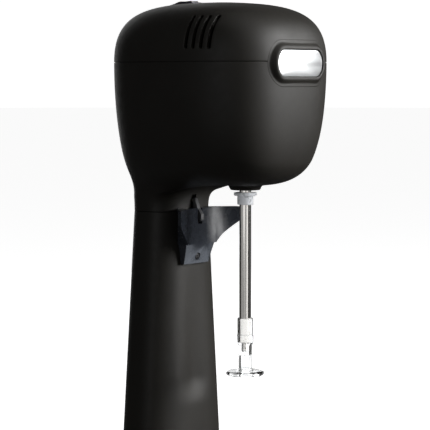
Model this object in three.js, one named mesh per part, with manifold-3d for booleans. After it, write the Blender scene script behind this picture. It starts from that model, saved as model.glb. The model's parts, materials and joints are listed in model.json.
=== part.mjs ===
// Single-spindle stand mixer for drinks: a rounded motor head on a tapered column, with a cup bracket.
// Millimetres. +X is the front, +Z is up. The machine is the same on both sides of the plane y = 0.
// The origin is under the middle of the base, on the table.
import * as THREE from 'three';
import { mergeVertices } from 'three/addons/utils/BufferGeometryUtils.js';
import Module from 'manifold-3d';

const wasm = await Module();
wasm.setup();

// ---------- Driving dimensions ----------

// Overall
const HEAD_REACH = 97; // head, from the middle to the front and to the rear
const HEAD_HALF = 84.2; // head, half of its width
const CROWN_Z = 487.6; // highest point of the head
const COVER_Z = 431; // seam between the top cover and the head housing
const UNDERSIDE_Z = 315.2; // flat underside of the head
const NECK_Z = 287.7; // seam between the neck and the pedestal
const BASE_FRONT = 98; // base, from the middle to the front
const BASE_REAR = 96.5; // base, from the middle to the rear
const BASE_HALF = 85; // base, half of its width
const SPINDLE_X = 31.5; // spindle axis, in front of the middle
const HEAD_SQUARE = 2.85; // how square the head is in plan: 2 is an ellipse
const COLUMN_SQUARE = 2.5;
const BASE_SQUARE = 2.7;

// Column
const NECK_FRONT = 65.2; // from the spindle axis back to the neck's front
const NECK_DEPTH = 56; // neck, front to rear
const NECK_HALF = 40.2; // neck, half of its width
const COLUMN_FLARE_FRONT = 4.9; // how far the column's front comes forward on its way down
const COLUMN_FLARE_SIDE = 16; // how much each side widens on its way down
const COLUMN_FOOT_Z = 58; // where the straight column ends
const BASE_TOP_Z = 30; // base's upper surface behind its rim
const BASE_RIM_Z = 14; // where the base's side begins
const BASE_UNDER_Z = 3.4; // lower edge of the pedestal
const GROOVE_DEPTH = 4.2; // hollow in the column's front behind the cup
const GROOVE_HALF = 17; // breadth of that hollow
const GROOVE_TOP_Z = 245; // where the hollow starts
const GROOVE_DEEP_Z = 124; // where it is deepest
const GROOVE_LOW_Z = 98; // where it has faded out

// Shells and fits
const WALL = 2.8;
const SEAM = 0.5; // gap along a parting line
const GAP = 0.3; // clearance between two pieces that touch or turn
const LIP = 1.6; // thickness of a locating lip
const LIP_HEIGHT = 5;

// Badge
const BADGE_LENGTH = 66.5;
const BADGE_HEIGHT = 24.4;
const BADGE_THICK = 1.3;
const BADGE_Z = 429.7;
const BEZEL_RIM = 3.6; // width of the raised frame round the badge
const BEZEL_PROUD = 0.9; // how far the frame stands in front of the head

// Vents
const VENT_COUNT = 4;
const VENT_FIRST_X = 28.5;
const VENT_PITCH = 7.9;
const VENT_WIDTH = 3.2;
const VENT_LOW_Z = 442.5;
const VENT_HIGH_Z = 473;

// Power switch
const SWITCH_X = -46;
const SWITCH_LENGTH = 36;
const SWITCH_WIDTH = 16.5;
const SWITCH_FLANGE = 1.2;
const SWITCH_WINDOW_LENGTH = 31.4;
const SWITCH_WINDOW_WIDTH = 11.2;
const SWITCH_DEPTH = 18;
const ROCKER_RIDGE = 5; // ridge of the rocker above the head's surface
const ROCKER_END = 3.2; // ends of the rocker above the head's surface

// Spindle, collar and agitator
const SPINDLE_R = 5.6;
const BOSS_TOP_R = 16.1;
const BOSS_LOW_R = 14;
const BOSS_DROP = 4.5;
const COLLAR_R = 10.8;
const COLLAR_BODY_R = 7.6;
const COLLAR_GAP = 2.4; // from the boss down to the collar
const COLLAR_FLANGE = 3;
const COLLAR_HEIGHT = 11.5;
const SPINDLE_LENGTH = 145.3; // from the boss down to the shoulder inside the agitator
const STUD_R = 2.15;
const STUD_LENGTH = 8.4;
const SLEEVE_WALL = 1.45;
const SLEEVE_LENGTH = 16.1; // clear sleeve above the shoulder ring
const RING_LENGTH = 7;
const STEM_R = 6.5;
const STEM_BORE_R = 4.6;
const STEM_LENGTH = 25.5;
const FLANGE_R = 8.05;
const DISC_R = 18;
const DISC_THICK = 4.2;
const DISC_PETALS = 8;
const DISC_WAVE = 1.1; // depth of the scallops round the disc

// Cup bracket
const BRACKET_TOP_Z = 290.6;
const BRACKET_TIP_DROP = 13.6; // height of each arm's blunt end
const BRACKET_CREASE_DROP = 34.6;
const BRACKET_HEIGHT = 54;
const BRACKET_HALF = 44.5;
const BRACKET_CREASE_HALF = 20.7;
const BRACKET_FOOT_HALF = 18.5;
const BRACKET_WALL_R = 75; // curve of the wall that faces the cup
const BRACKET_WALL_BACK = 56.5; // from the spindle axis back to the middle of that wall
const BRACKET_ARM = 3.6; // thickness of an arm's end
const BRACKET_GUSSET = 13.6; // from the wall back to the rear of the bracket's side walls
const BRACKET_SLOT_RISE = 10.7; // from the lever's pivot up to the lower end of the slot in the wall
const BRACKET_FOOT_SLOPE = 5; // how far the wall leans back below the crease

// Cup lever and its switch
const LEVER_HALF = 2.4; // half of the lever's width
const LEVER_PIVOT_DROP = 26; // from the bracket's top down to the pivot
const LEVER_PIVOT_BACK = 6.2; // from the bracket's wall back to the pivot
const LEVER_HUB_R = 2.6;
const LEVER_PIN_R = 1.1;
const LEVER_PIN_LENGTH = 15;
const LEVER_NOSE = 3.4; // how far the lever's nose stands out of the bracket's wall
const LEVER_TAB_RISE = 10; // height of the tab above the bracket
const LEVER_SLOT_HALF = LEVER_HALF + 0.8;
const PLUNGER_R = 1.5;
const PLUNGER_LENGTH = 13;
const MICROSWITCH_SIZE = [14, 10, 20];

// Motor
const MOTOR_RISE = 38.8; // from the head's underside up to the motor's lower bracket
const SHAFT_R = 4;
const STATOR_R = 38;
const STATOR_YOKE = 6.5;
const STACK = 32;
const AIR_GAP = 0.6;
const ARMATURE_R = 19;
const ARMATURE_SLOTS = 12;
const WINDING_HEIGHT = 10;
const COMMUTATOR_R = 12;
const COMMUTATOR_HEIGHT = 14;
const COMMUTATOR_BARS = 18;
const BRACKET_PLATE = 4;
const BEARING_R = 11;
const BEARING_HEIGHT = 7;
const HUB_WALL = 4;
const BUSH_OFFSET = 27;
const BUSH_R = 7;
const BUSH_HEIGHT = 10;
const FAN_R = 32;
const FAN_HEIGHT = 12;
const FAN_BLADES = 8;

// Screws and feet
const SCREW_R = 1.5;
const SCREW_HEAD_R = 3.2;
const SCREW_HEAD = 1.8;
const SCREW_LENGTH = 11;
const FOOT_R = 12;
const FOOT_TURN = 0.82; // place of a foot round the base, in radians from the front and rear
const FOOT_INSET = 17;
const POST_TURN = 0.52;
const PLATE_THICK = 2.6;
const GLAND_Z = 24;
const GLAND_R = 5.5;

// Mesh fineness
const AROUND = 28;
const ROUND = 18;
const SMALL_ROUND = 10;
const PETAL_STEPS = 5;

// ---------- Looks ----------

const look = (color, roughness, metalness) => ({ color, roughness, metalness });
const BODY_PAINT = look(0x26231f, 0.55, 0);
const SATIN_METAL = look(0xc9cbcc, 0.35, 0.9);
const STEEL = look(0xb4b3b0, 0.22, 1);
const DARK_PLASTIC = look(0x1b1d22, 0.25, 0);
const SWITCH_PLASTIC = look(0x3a3742, 0.4, 0);
const WHITE_PLASTIC = look(0xe9ebee, 0.35, 0);
const CLEAR_PLASTIC = look(0xdfe6ea, 0.08, 0);
const RUBBER = look(0x161616, 0.9, 0);
const CAST_METAL = look(0x9da0a2, 0.5, 0.8);
const LAMINATED_IRON = look(0x4d5054, 0.5, 0.7);
const COPPER = look(0xb06a3a, 0.35, 0.9);
const BRASS = look(0xc2a257, 0.35, 0.9);
const CARBON = look(0x2b2b2d, 0.7, 0.2);
const NYLON = look(0xd8d4c6, 0.5, 0);
const BOARD = look(0x2c6b3f, 0.5, 0);
const BRONZE = look(0xa67b4f, 0.45, 0.8);

// ---------- Solids ----------

// A closed geometry as a solid that can be joined and cut.
function solid(geometry) {
  const bare = geometry.clone();
  bare.deleteAttribute('normal');
  bare.deleteAttribute('uv');
  const merged = mergeVertices(bare, 1e-4);
  const corners = merged.index.array;
  const kept = [];
  for (let i = 0; i < corners.length; i += 3) {
    const [a, b, c] = [corners[i], corners[i + 1], corners[i + 2]];
    if (a !== b && b !== c && c !== a) kept.push(a, b, c);
  }
  return new wasm.Manifold(new wasm.Mesh({
    numProp: 3,
    vertProperties: new Float32Array(merged.attributes.position.array),
    triVerts: new Uint32Array(kept),
  }));
}

function geometryOf(shape) {
  const { vertProperties, triVerts, numProp } = shape.getMesh();
  const positions = new Float32Array((vertProperties.length / numProp) * 3);
  for (let i = 0; i < positions.length / 3; i += 1) {
    positions.set(vertProperties.slice(i * numProp, i * numProp + 3), i * 3);
  }
  const geometry = new THREE.BufferGeometry();
  geometry.setAttribute('position', new THREE.BufferAttribute(positions, 3));
  geometry.setIndex(new THREE.BufferAttribute(new Uint32Array(triVerts), 1));
  geometry.computeVertexNormals();
  return geometry;
}

const joined = (first, ...rest) => rest.reduce((sum, shape) => sum.add(shape), first);
const cut = (first, ...rest) => rest.reduce((left, shape) => left.subtract(shape), first);
const moved = (geometry, x, y, z) => geometry.translate(x, y, z);

// A solid of revolution about +Z from (radius, height) pairs.
function turned(profile, around = ROUND) {
  const points = profile.map(([radius, height]) => new THREE.Vector2(radius, height));
  return new THREE.LatheGeometry(points, around).rotateX(Math.PI / 2);
}

// Profiles run outwards along the bottom, up the outside and back along the top.
const discProfile = (radius, low, high) => [[0, low], [radius, low], [radius, high], [0, high]];
const tubeProfile = (outer, inner, low, high) => [
  [inner, low], [outer, low], [outer, high], [inner, high], [inner, low],
];
const disc = (radius, low, high, around) => turned(discProfile(radius, low, high), around);
const tube = (outer, inner, low, high, around) => turned(tubeProfile(outer, inner, low, high), around);

// A disc about the Y direction, reaching half a length to each side.
const acrossDisc = (radius, half) => disc(radius, -half, half, SMALL_ROUND).rotateX(Math.PI / 2);

// A box between two corners.
function block(low, high) {
  const size = high.map((value, axis) => value - low[axis]);
  const middle = high.map((value, axis) => (value + low[axis]) / 2);
  return moved(new THREE.BoxGeometry(...size), ...middle);
}

// An outline of [x, y] pairs made into a prism between two heights.
function prismOf(outline, low, high) {
  const shape = new THREE.Shape(outline.map(([x, y]) => new THREE.Vector2(x, y)));
  const geometry = new THREE.ExtrudeGeometry(shape, { depth: high - low, bevelEnabled: false });
  return moved(geometry, 0, 0, low);
}

// An outline of [x, z] pairs made into a slab between two values of y.
function slabOf(outline, near, far) {
  return prismOf(outline, -far, -near)
    .applyMatrix4(new THREE.Matrix4().makeBasis(
      new THREE.Vector3(1, 0, 0), new THREE.Vector3(0, 0, 1), new THREE.Vector3(0, -1, 0)));
}

// An outline of [y, z] pairs made into a slab between two values of x.
function plateOf(outline, rear, front) {
  return prismOf(outline, rear, front)
    .applyMatrix4(new THREE.Matrix4().makeBasis(
      new THREE.Vector3(0, 1, 0), new THREE.Vector3(0, 0, 1), new THREE.Vector3(1, 0, 0)));
}

// A rectangle with round corners, as an outline.
function roundedRectangle(length, width, radius, steps = 4) {
  const outline = [];
  const corners = [[1, 1, 0], [-1, 1, 1], [-1, -1, 2], [1, -1, 3]];
  for (const [sideX, sideY, quarter] of corners) {
    for (let i = 0; i <= steps; i += 1) {
      const turn = (quarter + i / steps) * Math.PI / 2;
      outline.push([
        sideX * (length / 2 - radius) + radius * Math.cos(turn),
        sideY * (width / 2 - radius) + radius * Math.sin(turn),
      ]);
    }
  }
  return outline;
}

// ---------- Shell forms ----------

// A shell form is a stack of plan sections. Its front, rear and side outlines are chains of cubic curves
// given as (outward distance, height), and each section joins the three at the same place t on the chains.

// A point on a chain, set in along the inward normal.
function chainPoint(chain, t, inset) {
  const piece = Math.min(Math.floor(t), (chain.length - 1) / 3 - 1);
  const ends = chain.slice(piece * 3, piece * 3 + 4).map(([out, z]) => new THREE.Vector2(out, z));
  const curve = new THREE.CubicBezierCurve(...ends);
  const along = curve.getTangent(t - piece);
  const point = curve.getPoint(t - piece);
  return [point.x + along.y * inset, point.y - along.x * inset];
}

// A value that eases from one level to another between two places on the chains.
const eased = ([from, to, start, end], t) => (
  THREE.MathUtils.lerp(from, to, THREE.MathUtils.smoothstep(t, start, end)));

// The plan section of a form at t. Its height may differ at the front, the rear and the sides.
function sectionOf(form, t, inset) {
  const [front, frontZ] = chainPoint(form.front, t, inset);
  const [rear, rearZ] = chainPoint(form.rear, t, inset);
  const [half, sideZ] = chainPoint(form.side, t, inset);
  const middle = eased(form.middle, t);
  return { front, rear, half, frontZ, rearZ, sideZ, middle, power: eased(form.power, t) };
}

// The same section set in by an amount and laid flat at a height.
function flatSection(form, t, inset, z) {
  return { ...sectionOf(form, t, inset), frontZ: z, rearZ: z, sideZ: z };
}

// The cup hollow in the column's front: how far a point at (y, z) is pushed back.
function grooveAt(y, z) {
  const ramp = THREE.MathUtils.clamp((GROOVE_TOP_Z - z) / (GROOVE_TOP_Z - GROOVE_DEEP_Z), 0, 1);
  const fade = THREE.MathUtils.smoothstep(z, GROOVE_LOW_Z, GROOVE_DEEP_Z);
  return GROOVE_DEPTH * ramp * fade * Math.exp(-((y / GROOVE_HALF) ** 2));
}

// A point of a section: a superellipse with its own reach forwards and backwards.
function sectionPoint(section, turn, grooved) {
  const along = Math.cos(turn);
  const across = Math.sin(turn);
  const px = Math.sign(along) * Math.abs(along) ** (2 / section.power);
  const py = Math.sign(across) * Math.abs(across) ** (2 / section.power);
  const forward = along > 0;
  const reach = forward ? section.front - section.middle : section.rear + section.middle;
  const endZ = forward ? section.frontZ : section.rearZ;
  const y = section.half * py;
  const z = section.sideZ + (endZ - section.sideZ) * along * along;
  const groove = grooved && forward ? grooveAt(y, z) : 0;
  return new THREE.Vector3(section.middle + reach * px - groove, y, z);
}

function ringOf(section, grooved) {
  const turns = Array.from({ length: AROUND }, (_, i) => (i / AROUND) * 2 * Math.PI);
  return turns.map((turn) => sectionPoint(section, turn, grooved));
}

// A solid through rings that run from the top down, closed by a flat cap at each end.
function loft(rings) {
  const positions = [];
  const face = (...points) => points.forEach((point) => positions.push(...point.toArray()));
  const centre = (ring) => ring.reduce((sum, point) => sum.add(point), new THREE.Vector3())
    .divideScalar(ring.length);
  const top = rings[0];
  const low = rings[rings.length - 1];
  const topCentre = centre(top);
  const lowCentre = centre(low);
  for (let i = 0; i < AROUND; i += 1) {
    const j = (i + 1) % AROUND;
    face(topCentre, top[i], top[j]);
    face(lowCentre, low[j], low[i]);
    for (let k = 0; k + 1 < rings.length; k += 1) {
      face(rings[k + 1][i], rings[k + 1][j], rings[k][j]);
      face(rings[k + 1][i], rings[k][j], rings[k][i]);
    }
  }
  const geometry = new THREE.BufferGeometry();
  geometry.setAttribute('position', new THREE.BufferAttribute(new Float32Array(positions), 3));
  return geometry;
}

const raised = (ring, z) => ring.map((point) => new THREE.Vector3(point.x, point.y, point.z + z));

// A form as a solid, set in by an amount and drawn out past its open ends.
function formSolid(form, inset, pastTop = 0, pastLow = 0) {
  const rings = [];
  form.steps.forEach((steps, piece) => {
    const first = piece === 0 ? 0 : 1;
    for (let i = first; i <= steps; i += 1) {
      rings.push(ringOf(sectionOf(form, piece + i / steps, inset), form.grooved));
    }
  });
  if (pastTop) rings.unshift(raised(rings[0], pastTop));
  if (pastLow) rings.push(raised(rings[rings.length - 1], -pastLow));
  return solid(loft(rings));
}

// A ring-shaped wall inside a form's end, between two insets and two heights.
function bandOf(form, t, outerInset, innerInset, low, high) {
  const ring = (inset, z) => ringOf(flatSection(form, t, inset, z), false);
  const outer = solid(loft([ring(outerInset, high), ring(outerInset, low)]));
  return outer.subtract(solid(loft([ring(innerInset, high + 1), ring(innerInset, low - 1)])));
}

const straight = ([x0, z0], [x1, z1]) => [
  [THREE.MathUtils.lerp(x0, x1, 1 / 3), THREE.MathUtils.lerp(z0, z1, 1 / 3)],
  [THREE.MathUtils.lerp(x0, x1, 2 / 3), THREE.MathUtils.lerp(z0, z1, 2 / 3)],
  [x1, z1],
];

const COVER_LOW = COVER_Z + SEAM / 2;
const HEAD_TOP = COVER_Z - SEAM / 2;
const NECK_LOW = NECK_Z + SEAM / 2;
const COLUMN_TOP = NECK_Z - SEAM / 2;
const NECK_FRONT_X = SPINDLE_X - NECK_FRONT;
const NECK_REAR = NECK_DEPTH - NECK_FRONT_X;
const NECK_MIDDLE = NECK_FRONT_X - NECK_DEPTH / 2;
const DOME = CROWN_Z - COVER_Z;

// The crown is flat on top and rounds down into upright walls.
function domeOutline(reach) {
  return [[0, CROWN_Z], [0.7 * reach, CROWN_Z], [reach, CROWN_Z - 0.13 * DOME], [reach, COVER_LOW]];
}

const COVER_FORM = {
  front: domeOutline(HEAD_REACH),
  rear: domeOutline(HEAD_REACH),
  side: domeOutline(HEAD_HALF),
  middle: [0, 0, 0, 1],
  power: [2.5, HEAD_SQUARE, 0, 1],
  steps: [7],
};

// Heights on the head housing, as shares of the wall between the underside and the seam.
const wallZ = (share) => UNDERSIDE_Z + share * (COVER_Z - UNDERSIDE_Z);

const HEAD_FORM = {
  front: [
    [HEAD_REACH, HEAD_TOP], [HEAD_REACH, wallZ(0.83)], [0.991 * HEAD_REACH, wallZ(0.4)],
    [0.88 * HEAD_REACH, wallZ(0.17)],
    [0.79 * HEAD_REACH, wallZ(0.02)], [0.6 * HEAD_REACH, UNDERSIDE_Z], [0.45 * HEAD_REACH, UNDERSIDE_Z],
    [0.25 * HEAD_REACH, UNDERSIDE_Z], [NECK_FRONT_X + 45, UNDERSIDE_Z], [NECK_FRONT_X + 24, UNDERSIDE_Z],
    [NECK_FRONT_X + 5, UNDERSIDE_Z], [NECK_FRONT_X, UNDERSIDE_Z - 4], [NECK_FRONT_X, NECK_LOW],
  ],
  rear: [
    [HEAD_REACH, HEAD_TOP], [HEAD_REACH, wallZ(0.775)], [0.995 * HEAD_REACH, wallZ(0.56)],
    [0.974 * HEAD_REACH, wallZ(0.32)],
    [0.966 * HEAD_REACH, wallZ(0.22)], [NECK_REAR + 2.9, wallZ(0.14)], [NECK_REAR + 1.7, wallZ(0.06)],
    [NECK_REAR + 0.9, UNDERSIDE_Z], [NECK_REAR + 0.3, UNDERSIDE_Z - 6], [NECK_REAR + 0.1, UNDERSIDE_Z - 12],
    [NECK_REAR, UNDERSIDE_Z - 17], [NECK_REAR, UNDERSIDE_Z - 22], [NECK_REAR, NECK_LOW],
  ],
  side: [
    [HEAD_HALF, HEAD_TOP], [HEAD_HALF, wallZ(0.775)], [0.97 * HEAD_HALF, wallZ(0.49)],
    [0.874 * HEAD_HALF, wallZ(0.3)],
    [0.822 * HEAD_HALF, wallZ(0.18)], [0.74 * HEAD_HALF, wallZ(0.12)], [0.65 * HEAD_HALF, wallZ(0.06)],
    [0.575 * HEAD_HALF, wallZ(0.01)], [NECK_HALF + 3.2, UNDERSIDE_Z - 3], [NECK_HALF + 1.4, UNDERSIDE_Z - 10],
    [NECK_HALF + 0.4, UNDERSIDE_Z - 14], [NECK_HALF, UNDERSIDE_Z - 20], [NECK_HALF, NECK_LOW],
  ],
  middle: [0, NECK_MIDDLE, 0.5, 3.3],
  power: [HEAD_SQUARE, COLUMN_SQUARE, 0.5, 3],
  steps: [3, 4, 2, 4],
};

const FOOT_FRONT_X = NECK_FRONT_X + COLUMN_FLARE_FRONT;
const FOOT_HALF = NECK_HALF + COLUMN_FLARE_SIDE;

const PEDESTAL_FORM = {
  front: [
    [NECK_FRONT_X, COLUMN_TOP],
    ...straight([NECK_FRONT_X, COLUMN_TOP], [FOOT_FRONT_X, COLUMN_FOOT_Z]),
    [FOOT_FRONT_X + 0.8, COLUMN_FOOT_Z - 16], [FOOT_FRONT_X + 10, BASE_TOP_Z + 4.6],
    [FOOT_FRONT_X + 32, BASE_TOP_Z + 3],
    [FOOT_FRONT_X + 62, BASE_TOP_Z + 0.8], [BASE_FRONT - 32, BASE_TOP_Z - 1.6],
    [BASE_FRONT - 11, BASE_TOP_Z - 4.2],
    [BASE_FRONT - 3, BASE_TOP_Z - 5.2], [BASE_FRONT, BASE_RIM_Z + 7], [BASE_FRONT, BASE_RIM_Z],
    ...straight([BASE_FRONT, BASE_RIM_Z], [BASE_FRONT, BASE_UNDER_Z]),
  ],
  rear: [
    [NECK_REAR, COLUMN_TOP],
    ...straight([NECK_REAR, COLUMN_TOP], [BASE_REAR - 0.5, COLUMN_FOOT_Z]),
    [BASE_REAR - 0.2, COLUMN_FOOT_Z - 8], [BASE_REAR, COLUMN_FOOT_Z - 16], [BASE_REAR, BASE_TOP_Z + 6],
    ...straight([BASE_REAR, BASE_TOP_Z + 6], [BASE_REAR, BASE_TOP_Z - 5]),
    ...straight([BASE_REAR, BASE_TOP_Z - 5], [BASE_REAR, BASE_RIM_Z]),
    ...straight([BASE_REAR, BASE_RIM_Z], [BASE_REAR, BASE_UNDER_Z]),
  ],
  side: [
    [NECK_HALF, COLUMN_TOP],
    ...straight([NECK_HALF, COLUMN_TOP], [FOOT_HALF, COLUMN_FOOT_Z]),
    [FOOT_HALF + 1.2, COLUMN_FOOT_Z - 14], [FOOT_HALF + 3, BASE_TOP_Z + 4], [FOOT_HALF + 9, BASE_TOP_Z + 0.5],
    [FOOT_HALF + 12, BASE_TOP_Z - 1.2], [BASE_HALF - 11, BASE_TOP_Z - 2.4], [BASE_HALF - 8, BASE_TOP_Z - 3.7],
    [BASE_HALF - 3, BASE_TOP_Z - 5.8], [BASE_HALF, BASE_RIM_Z + 7], [BASE_HALF, BASE_RIM_Z],
    ...straight([BASE_HALF, BASE_RIM_Z], [BASE_HALF, BASE_UNDER_Z]),
  ],
  middle: [NECK_MIDDLE, 0, 1, 4],
  power: [COLUMN_SQUARE, BASE_SQUARE, 1, 4],
  steps: [5, 3, 2, 3, 1],
  grooved: true,
};

// The place of a point on a dome outline at a distance from the middle, and the slope there.
function crownAt(x) {
  let low = 0;
  let high = 1;
  for (let i = 0; i < 30; i += 1) {
    const t = (low + high) / 2;
    if (chainPoint(COVER_FORM.rear, t, 0)[0] < Math.abs(x)) low = t;
    else high = t;
  }
  const [before, after] = [chainPoint(COVER_FORM.rear, low, 0), chainPoint(COVER_FORM.rear, low + 0.01, 0)];
  return { z: before[1], slope: Math.atan2(before[1] - after[1], after[0] - before[0]) };
}

// ---------- Shared pieces ----------

// A pan-head screw whose head rests at the origin, with its thread along -Z.
function screwShape() {
  const slotHalf = SCREW_HEAD_R * 0.65;
  const slot = block([-slotHalf, -0.4, SCREW_HEAD - 0.7], [slotHalf, 0.4, SCREW_HEAD + 1]);
  const turnedScrew = turned([
    [0, -SCREW_LENGTH], [SCREW_R * 0.6, -SCREW_LENGTH], [SCREW_R, -SCREW_LENGTH + 1.2], [SCREW_R, 0],
    [SCREW_HEAD_R, 0], [SCREW_HEAD_R, SCREW_HEAD * 0.45], [SCREW_HEAD_R * 0.7, SCREW_HEAD * 0.9],
    [0, SCREW_HEAD],
  ], SMALL_ROUND);
  return cut(solid(turnedScrew), solid(slot));
}

// Puts a shape made along +Z at a place, with its +Z turned to a direction.
function placement(place, direction) {
  const turn = new THREE.Quaternion().setFromUnitVectors(
    new THREE.Vector3(0, 0, 1), new THREE.Vector3(...direction).normalize());
  return new THREE.Matrix4().compose(new THREE.Vector3(...place), turn, new THREE.Vector3(1, 1, 1));
}

const placed = (shape, place, direction) => geometryOf(shape).applyMatrix4(placement(place, direction));

// The space that a screw needs: a sunk pocket for its head and a hole for its thread.
function screwHole(place, direction) {
  const pocket = solid(disc(SCREW_HEAD_R + GAP, -GAP, SCREW_HEAD + 8, SMALL_ROUND));
  const hole = solid(disc(SCREW_R + GAP, -SCREW_LENGTH - 1, 0, SMALL_ROUND));
  return solid(placed(pocket.add(hole), place, direction));
}

const group = new THREE.Group();
const materials = new Map();

// Adds one named piece to the object.
function add(name, finish, shape) {
  const geometry = shape.isBufferGeometry ? shape : geometryOf(shape);
  if (!materials.has(finish)) materials.set(finish, new THREE.MeshStandardMaterial(finish));
  const mesh = new THREE.Mesh(geometry, materials.get(finish).clone());
  mesh.name = name;
  group.add(mesh);
  return mesh;
}

// ---------- Stations on the spindle axis, from the table up ----------

const BOSS_Z = UNDERSIDE_Z - BOSS_DROP;
const COLLAR_TOP_Z = BOSS_Z - COLLAR_GAP;
const SHOULDER_Z = BOSS_Z - SPINDLE_LENGTH;
const BUSH_BORE_R = 9.3;
const BUSH_TOP_Z = UNDERSIDE_Z + 11;
const SEAL_Z = BOSS_Z + 1.5;
const SPINDLE_TOP_Z = BUSH_TOP_Z + 7.5;
const COUPLING_Z = BUSH_TOP_Z + 2.3;
const COUPLING_LENGTH = 13;
const COUPLING_R = 9;
const MOTOR_Z = UNDERSIDE_Z + MOTOR_RISE;
const LOWER_PLATE_TOP = MOTOR_Z + BRACKET_PLATE;
const STACK_Z = LOWER_PLATE_TOP + WINDING_HEIGHT + 4;
const STACK_TOP = STACK_Z + STACK;
const COMMUTATOR_Z = STACK_TOP + WINDING_HEIGHT + 3;
const UPPER_PLATE_Z = COMMUTATOR_Z + COMMUTATOR_HEIGHT + 1;
const UPPER_PLATE_TOP = UPPER_PLATE_Z + BRACKET_PLATE;
const FAN_Z = UPPER_PLATE_TOP + BEARING_HEIGHT + 2;
const SHAFT_TOP_Z = FAN_Z + FAN_HEIGHT + 1;

const onAxis = (geometry) => moved(geometry, SPINDLE_X, 0, 0);

// ---------- Cup bracket stations ----------

const BRACKET_WALL_X = SPINDLE_X - BRACKET_WALL_BACK;
const BRACKET_AXIS_X = BRACKET_WALL_X + BRACKET_WALL_R;
const BRACKET_LOW_Z = BRACKET_TOP_Z - BRACKET_HEIGHT;
const CREASE_Z = BRACKET_TOP_Z - BRACKET_CREASE_DROP;
const TIP_Z = BRACKET_TOP_Z - BRACKET_TIP_DROP;
const PIVOT = [BRACKET_WALL_X - LEVER_PIVOT_BACK, 0, BRACKET_TOP_Z - LEVER_PIVOT_DROP];
const TAB_Z = BRACKET_TOP_Z + LEVER_TAB_RISE;
const TAB_X = NECK_FRONT_X - 0.4;
const PLUNGER_Z = TAB_Z - 2.6;
const LEVER_SLOT_LOW = PIVOT[2] - LEVER_HUB_R - 1.4;
const BRACKET_SCREW = [BRACKET_WALL_X - 4.6, 0, BRACKET_LOW_Z + 7];
const HIDDEN_SCREW_Y = 12;
const HIDDEN_SCREW_Z = CREASE_Z + 6;
const COLUMN_BACK_X = NECK_FRONT_X - WALL + 0.1;
const hiddenScrews = [-1, 1].map((side) => [COLUMN_BACK_X, side * HIDDEN_SCREW_Y, HIDDEN_SCREW_Z]);

// ---------- Badge ----------

// A bar with flat top and bottom and shallow round ends.
function badgeOutline(length, height) {
  const bulge = 0.3 * height;
  const radius = (height * height / 4 + bulge * bulge) / (2 * bulge);
  const sweep = Math.asin(height / 2 / radius);
  const outline = [];
  for (const side of [1, -1]) {
    for (let i = 0; i <= 8; i += 1) {
      const turn = sweep * (i / 4 - 1);
      outline.push([
        side * (length / 2 - radius + radius * Math.cos(turn)),
        BADGE_Z + side * radius * Math.sin(turn),
      ]);
    }
  }
  return outline;
}

const BEZEL_FRONT_X = HEAD_REACH + BEZEL_PROUD;
const POCKET_X = HEAD_REACH - 1.7;
const bezelPrism = (extra, rear, front) => solid(plateOf(
  badgeOutline(BADGE_LENGTH + 2 * (BEZEL_RIM + extra), BADGE_HEIGHT + 2 * (BEZEL_RIM + extra)), rear, front));
const badgePocket = () => bezelPrism(GAP, POCKET_X, BEZEL_FRONT_X + 5);

// ---------- Power switch placement ----------

const crown = crownAt(SWITCH_X);
const SWITCH_FRAME = new THREE.Matrix4()
  .makeRotationY(-crown.slope)
  .setPosition(SWITCH_X, 0, crown.z);
const atSwitch = (geometry) => geometry.applyMatrix4(SWITCH_FRAME);
const SWITCH_BODY_LENGTH = SWITCH_LENGTH - 4;
const SWITCH_BODY_WIDTH = SWITCH_WIDTH - 3.6;

// ---------- Housings ----------

const headSolid = formSolid(HEAD_FORM, 0);
const headOver = formSolid(HEAD_FORM, -GAP);
const columnOver = formSolid(PEDESTAL_FORM, -GAP, SEAM);
const COVER_SCREW_Z = COVER_Z - 8;
const NECK_SCREW_Z = NECK_Z + 7;

// Places on a form's surface, a little sunk in, with the outward direction of a rear screw.
const COVER_SCREW_Y = 28;
const NECK_SCREW_Y = 14;
const SCREW_SUNK = 2;
const coverScrews = [-COVER_SCREW_Y, COVER_SCREW_Y].map((y) => [-HEAD_REACH + SCREW_SUNK, y, COVER_SCREW_Z]);
const neckScrews = [-NECK_SCREW_Y, NECK_SCREW_Y].map((y) => [-NECK_REAR + SCREW_SUNK, y, NECK_SCREW_Z]);

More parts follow.
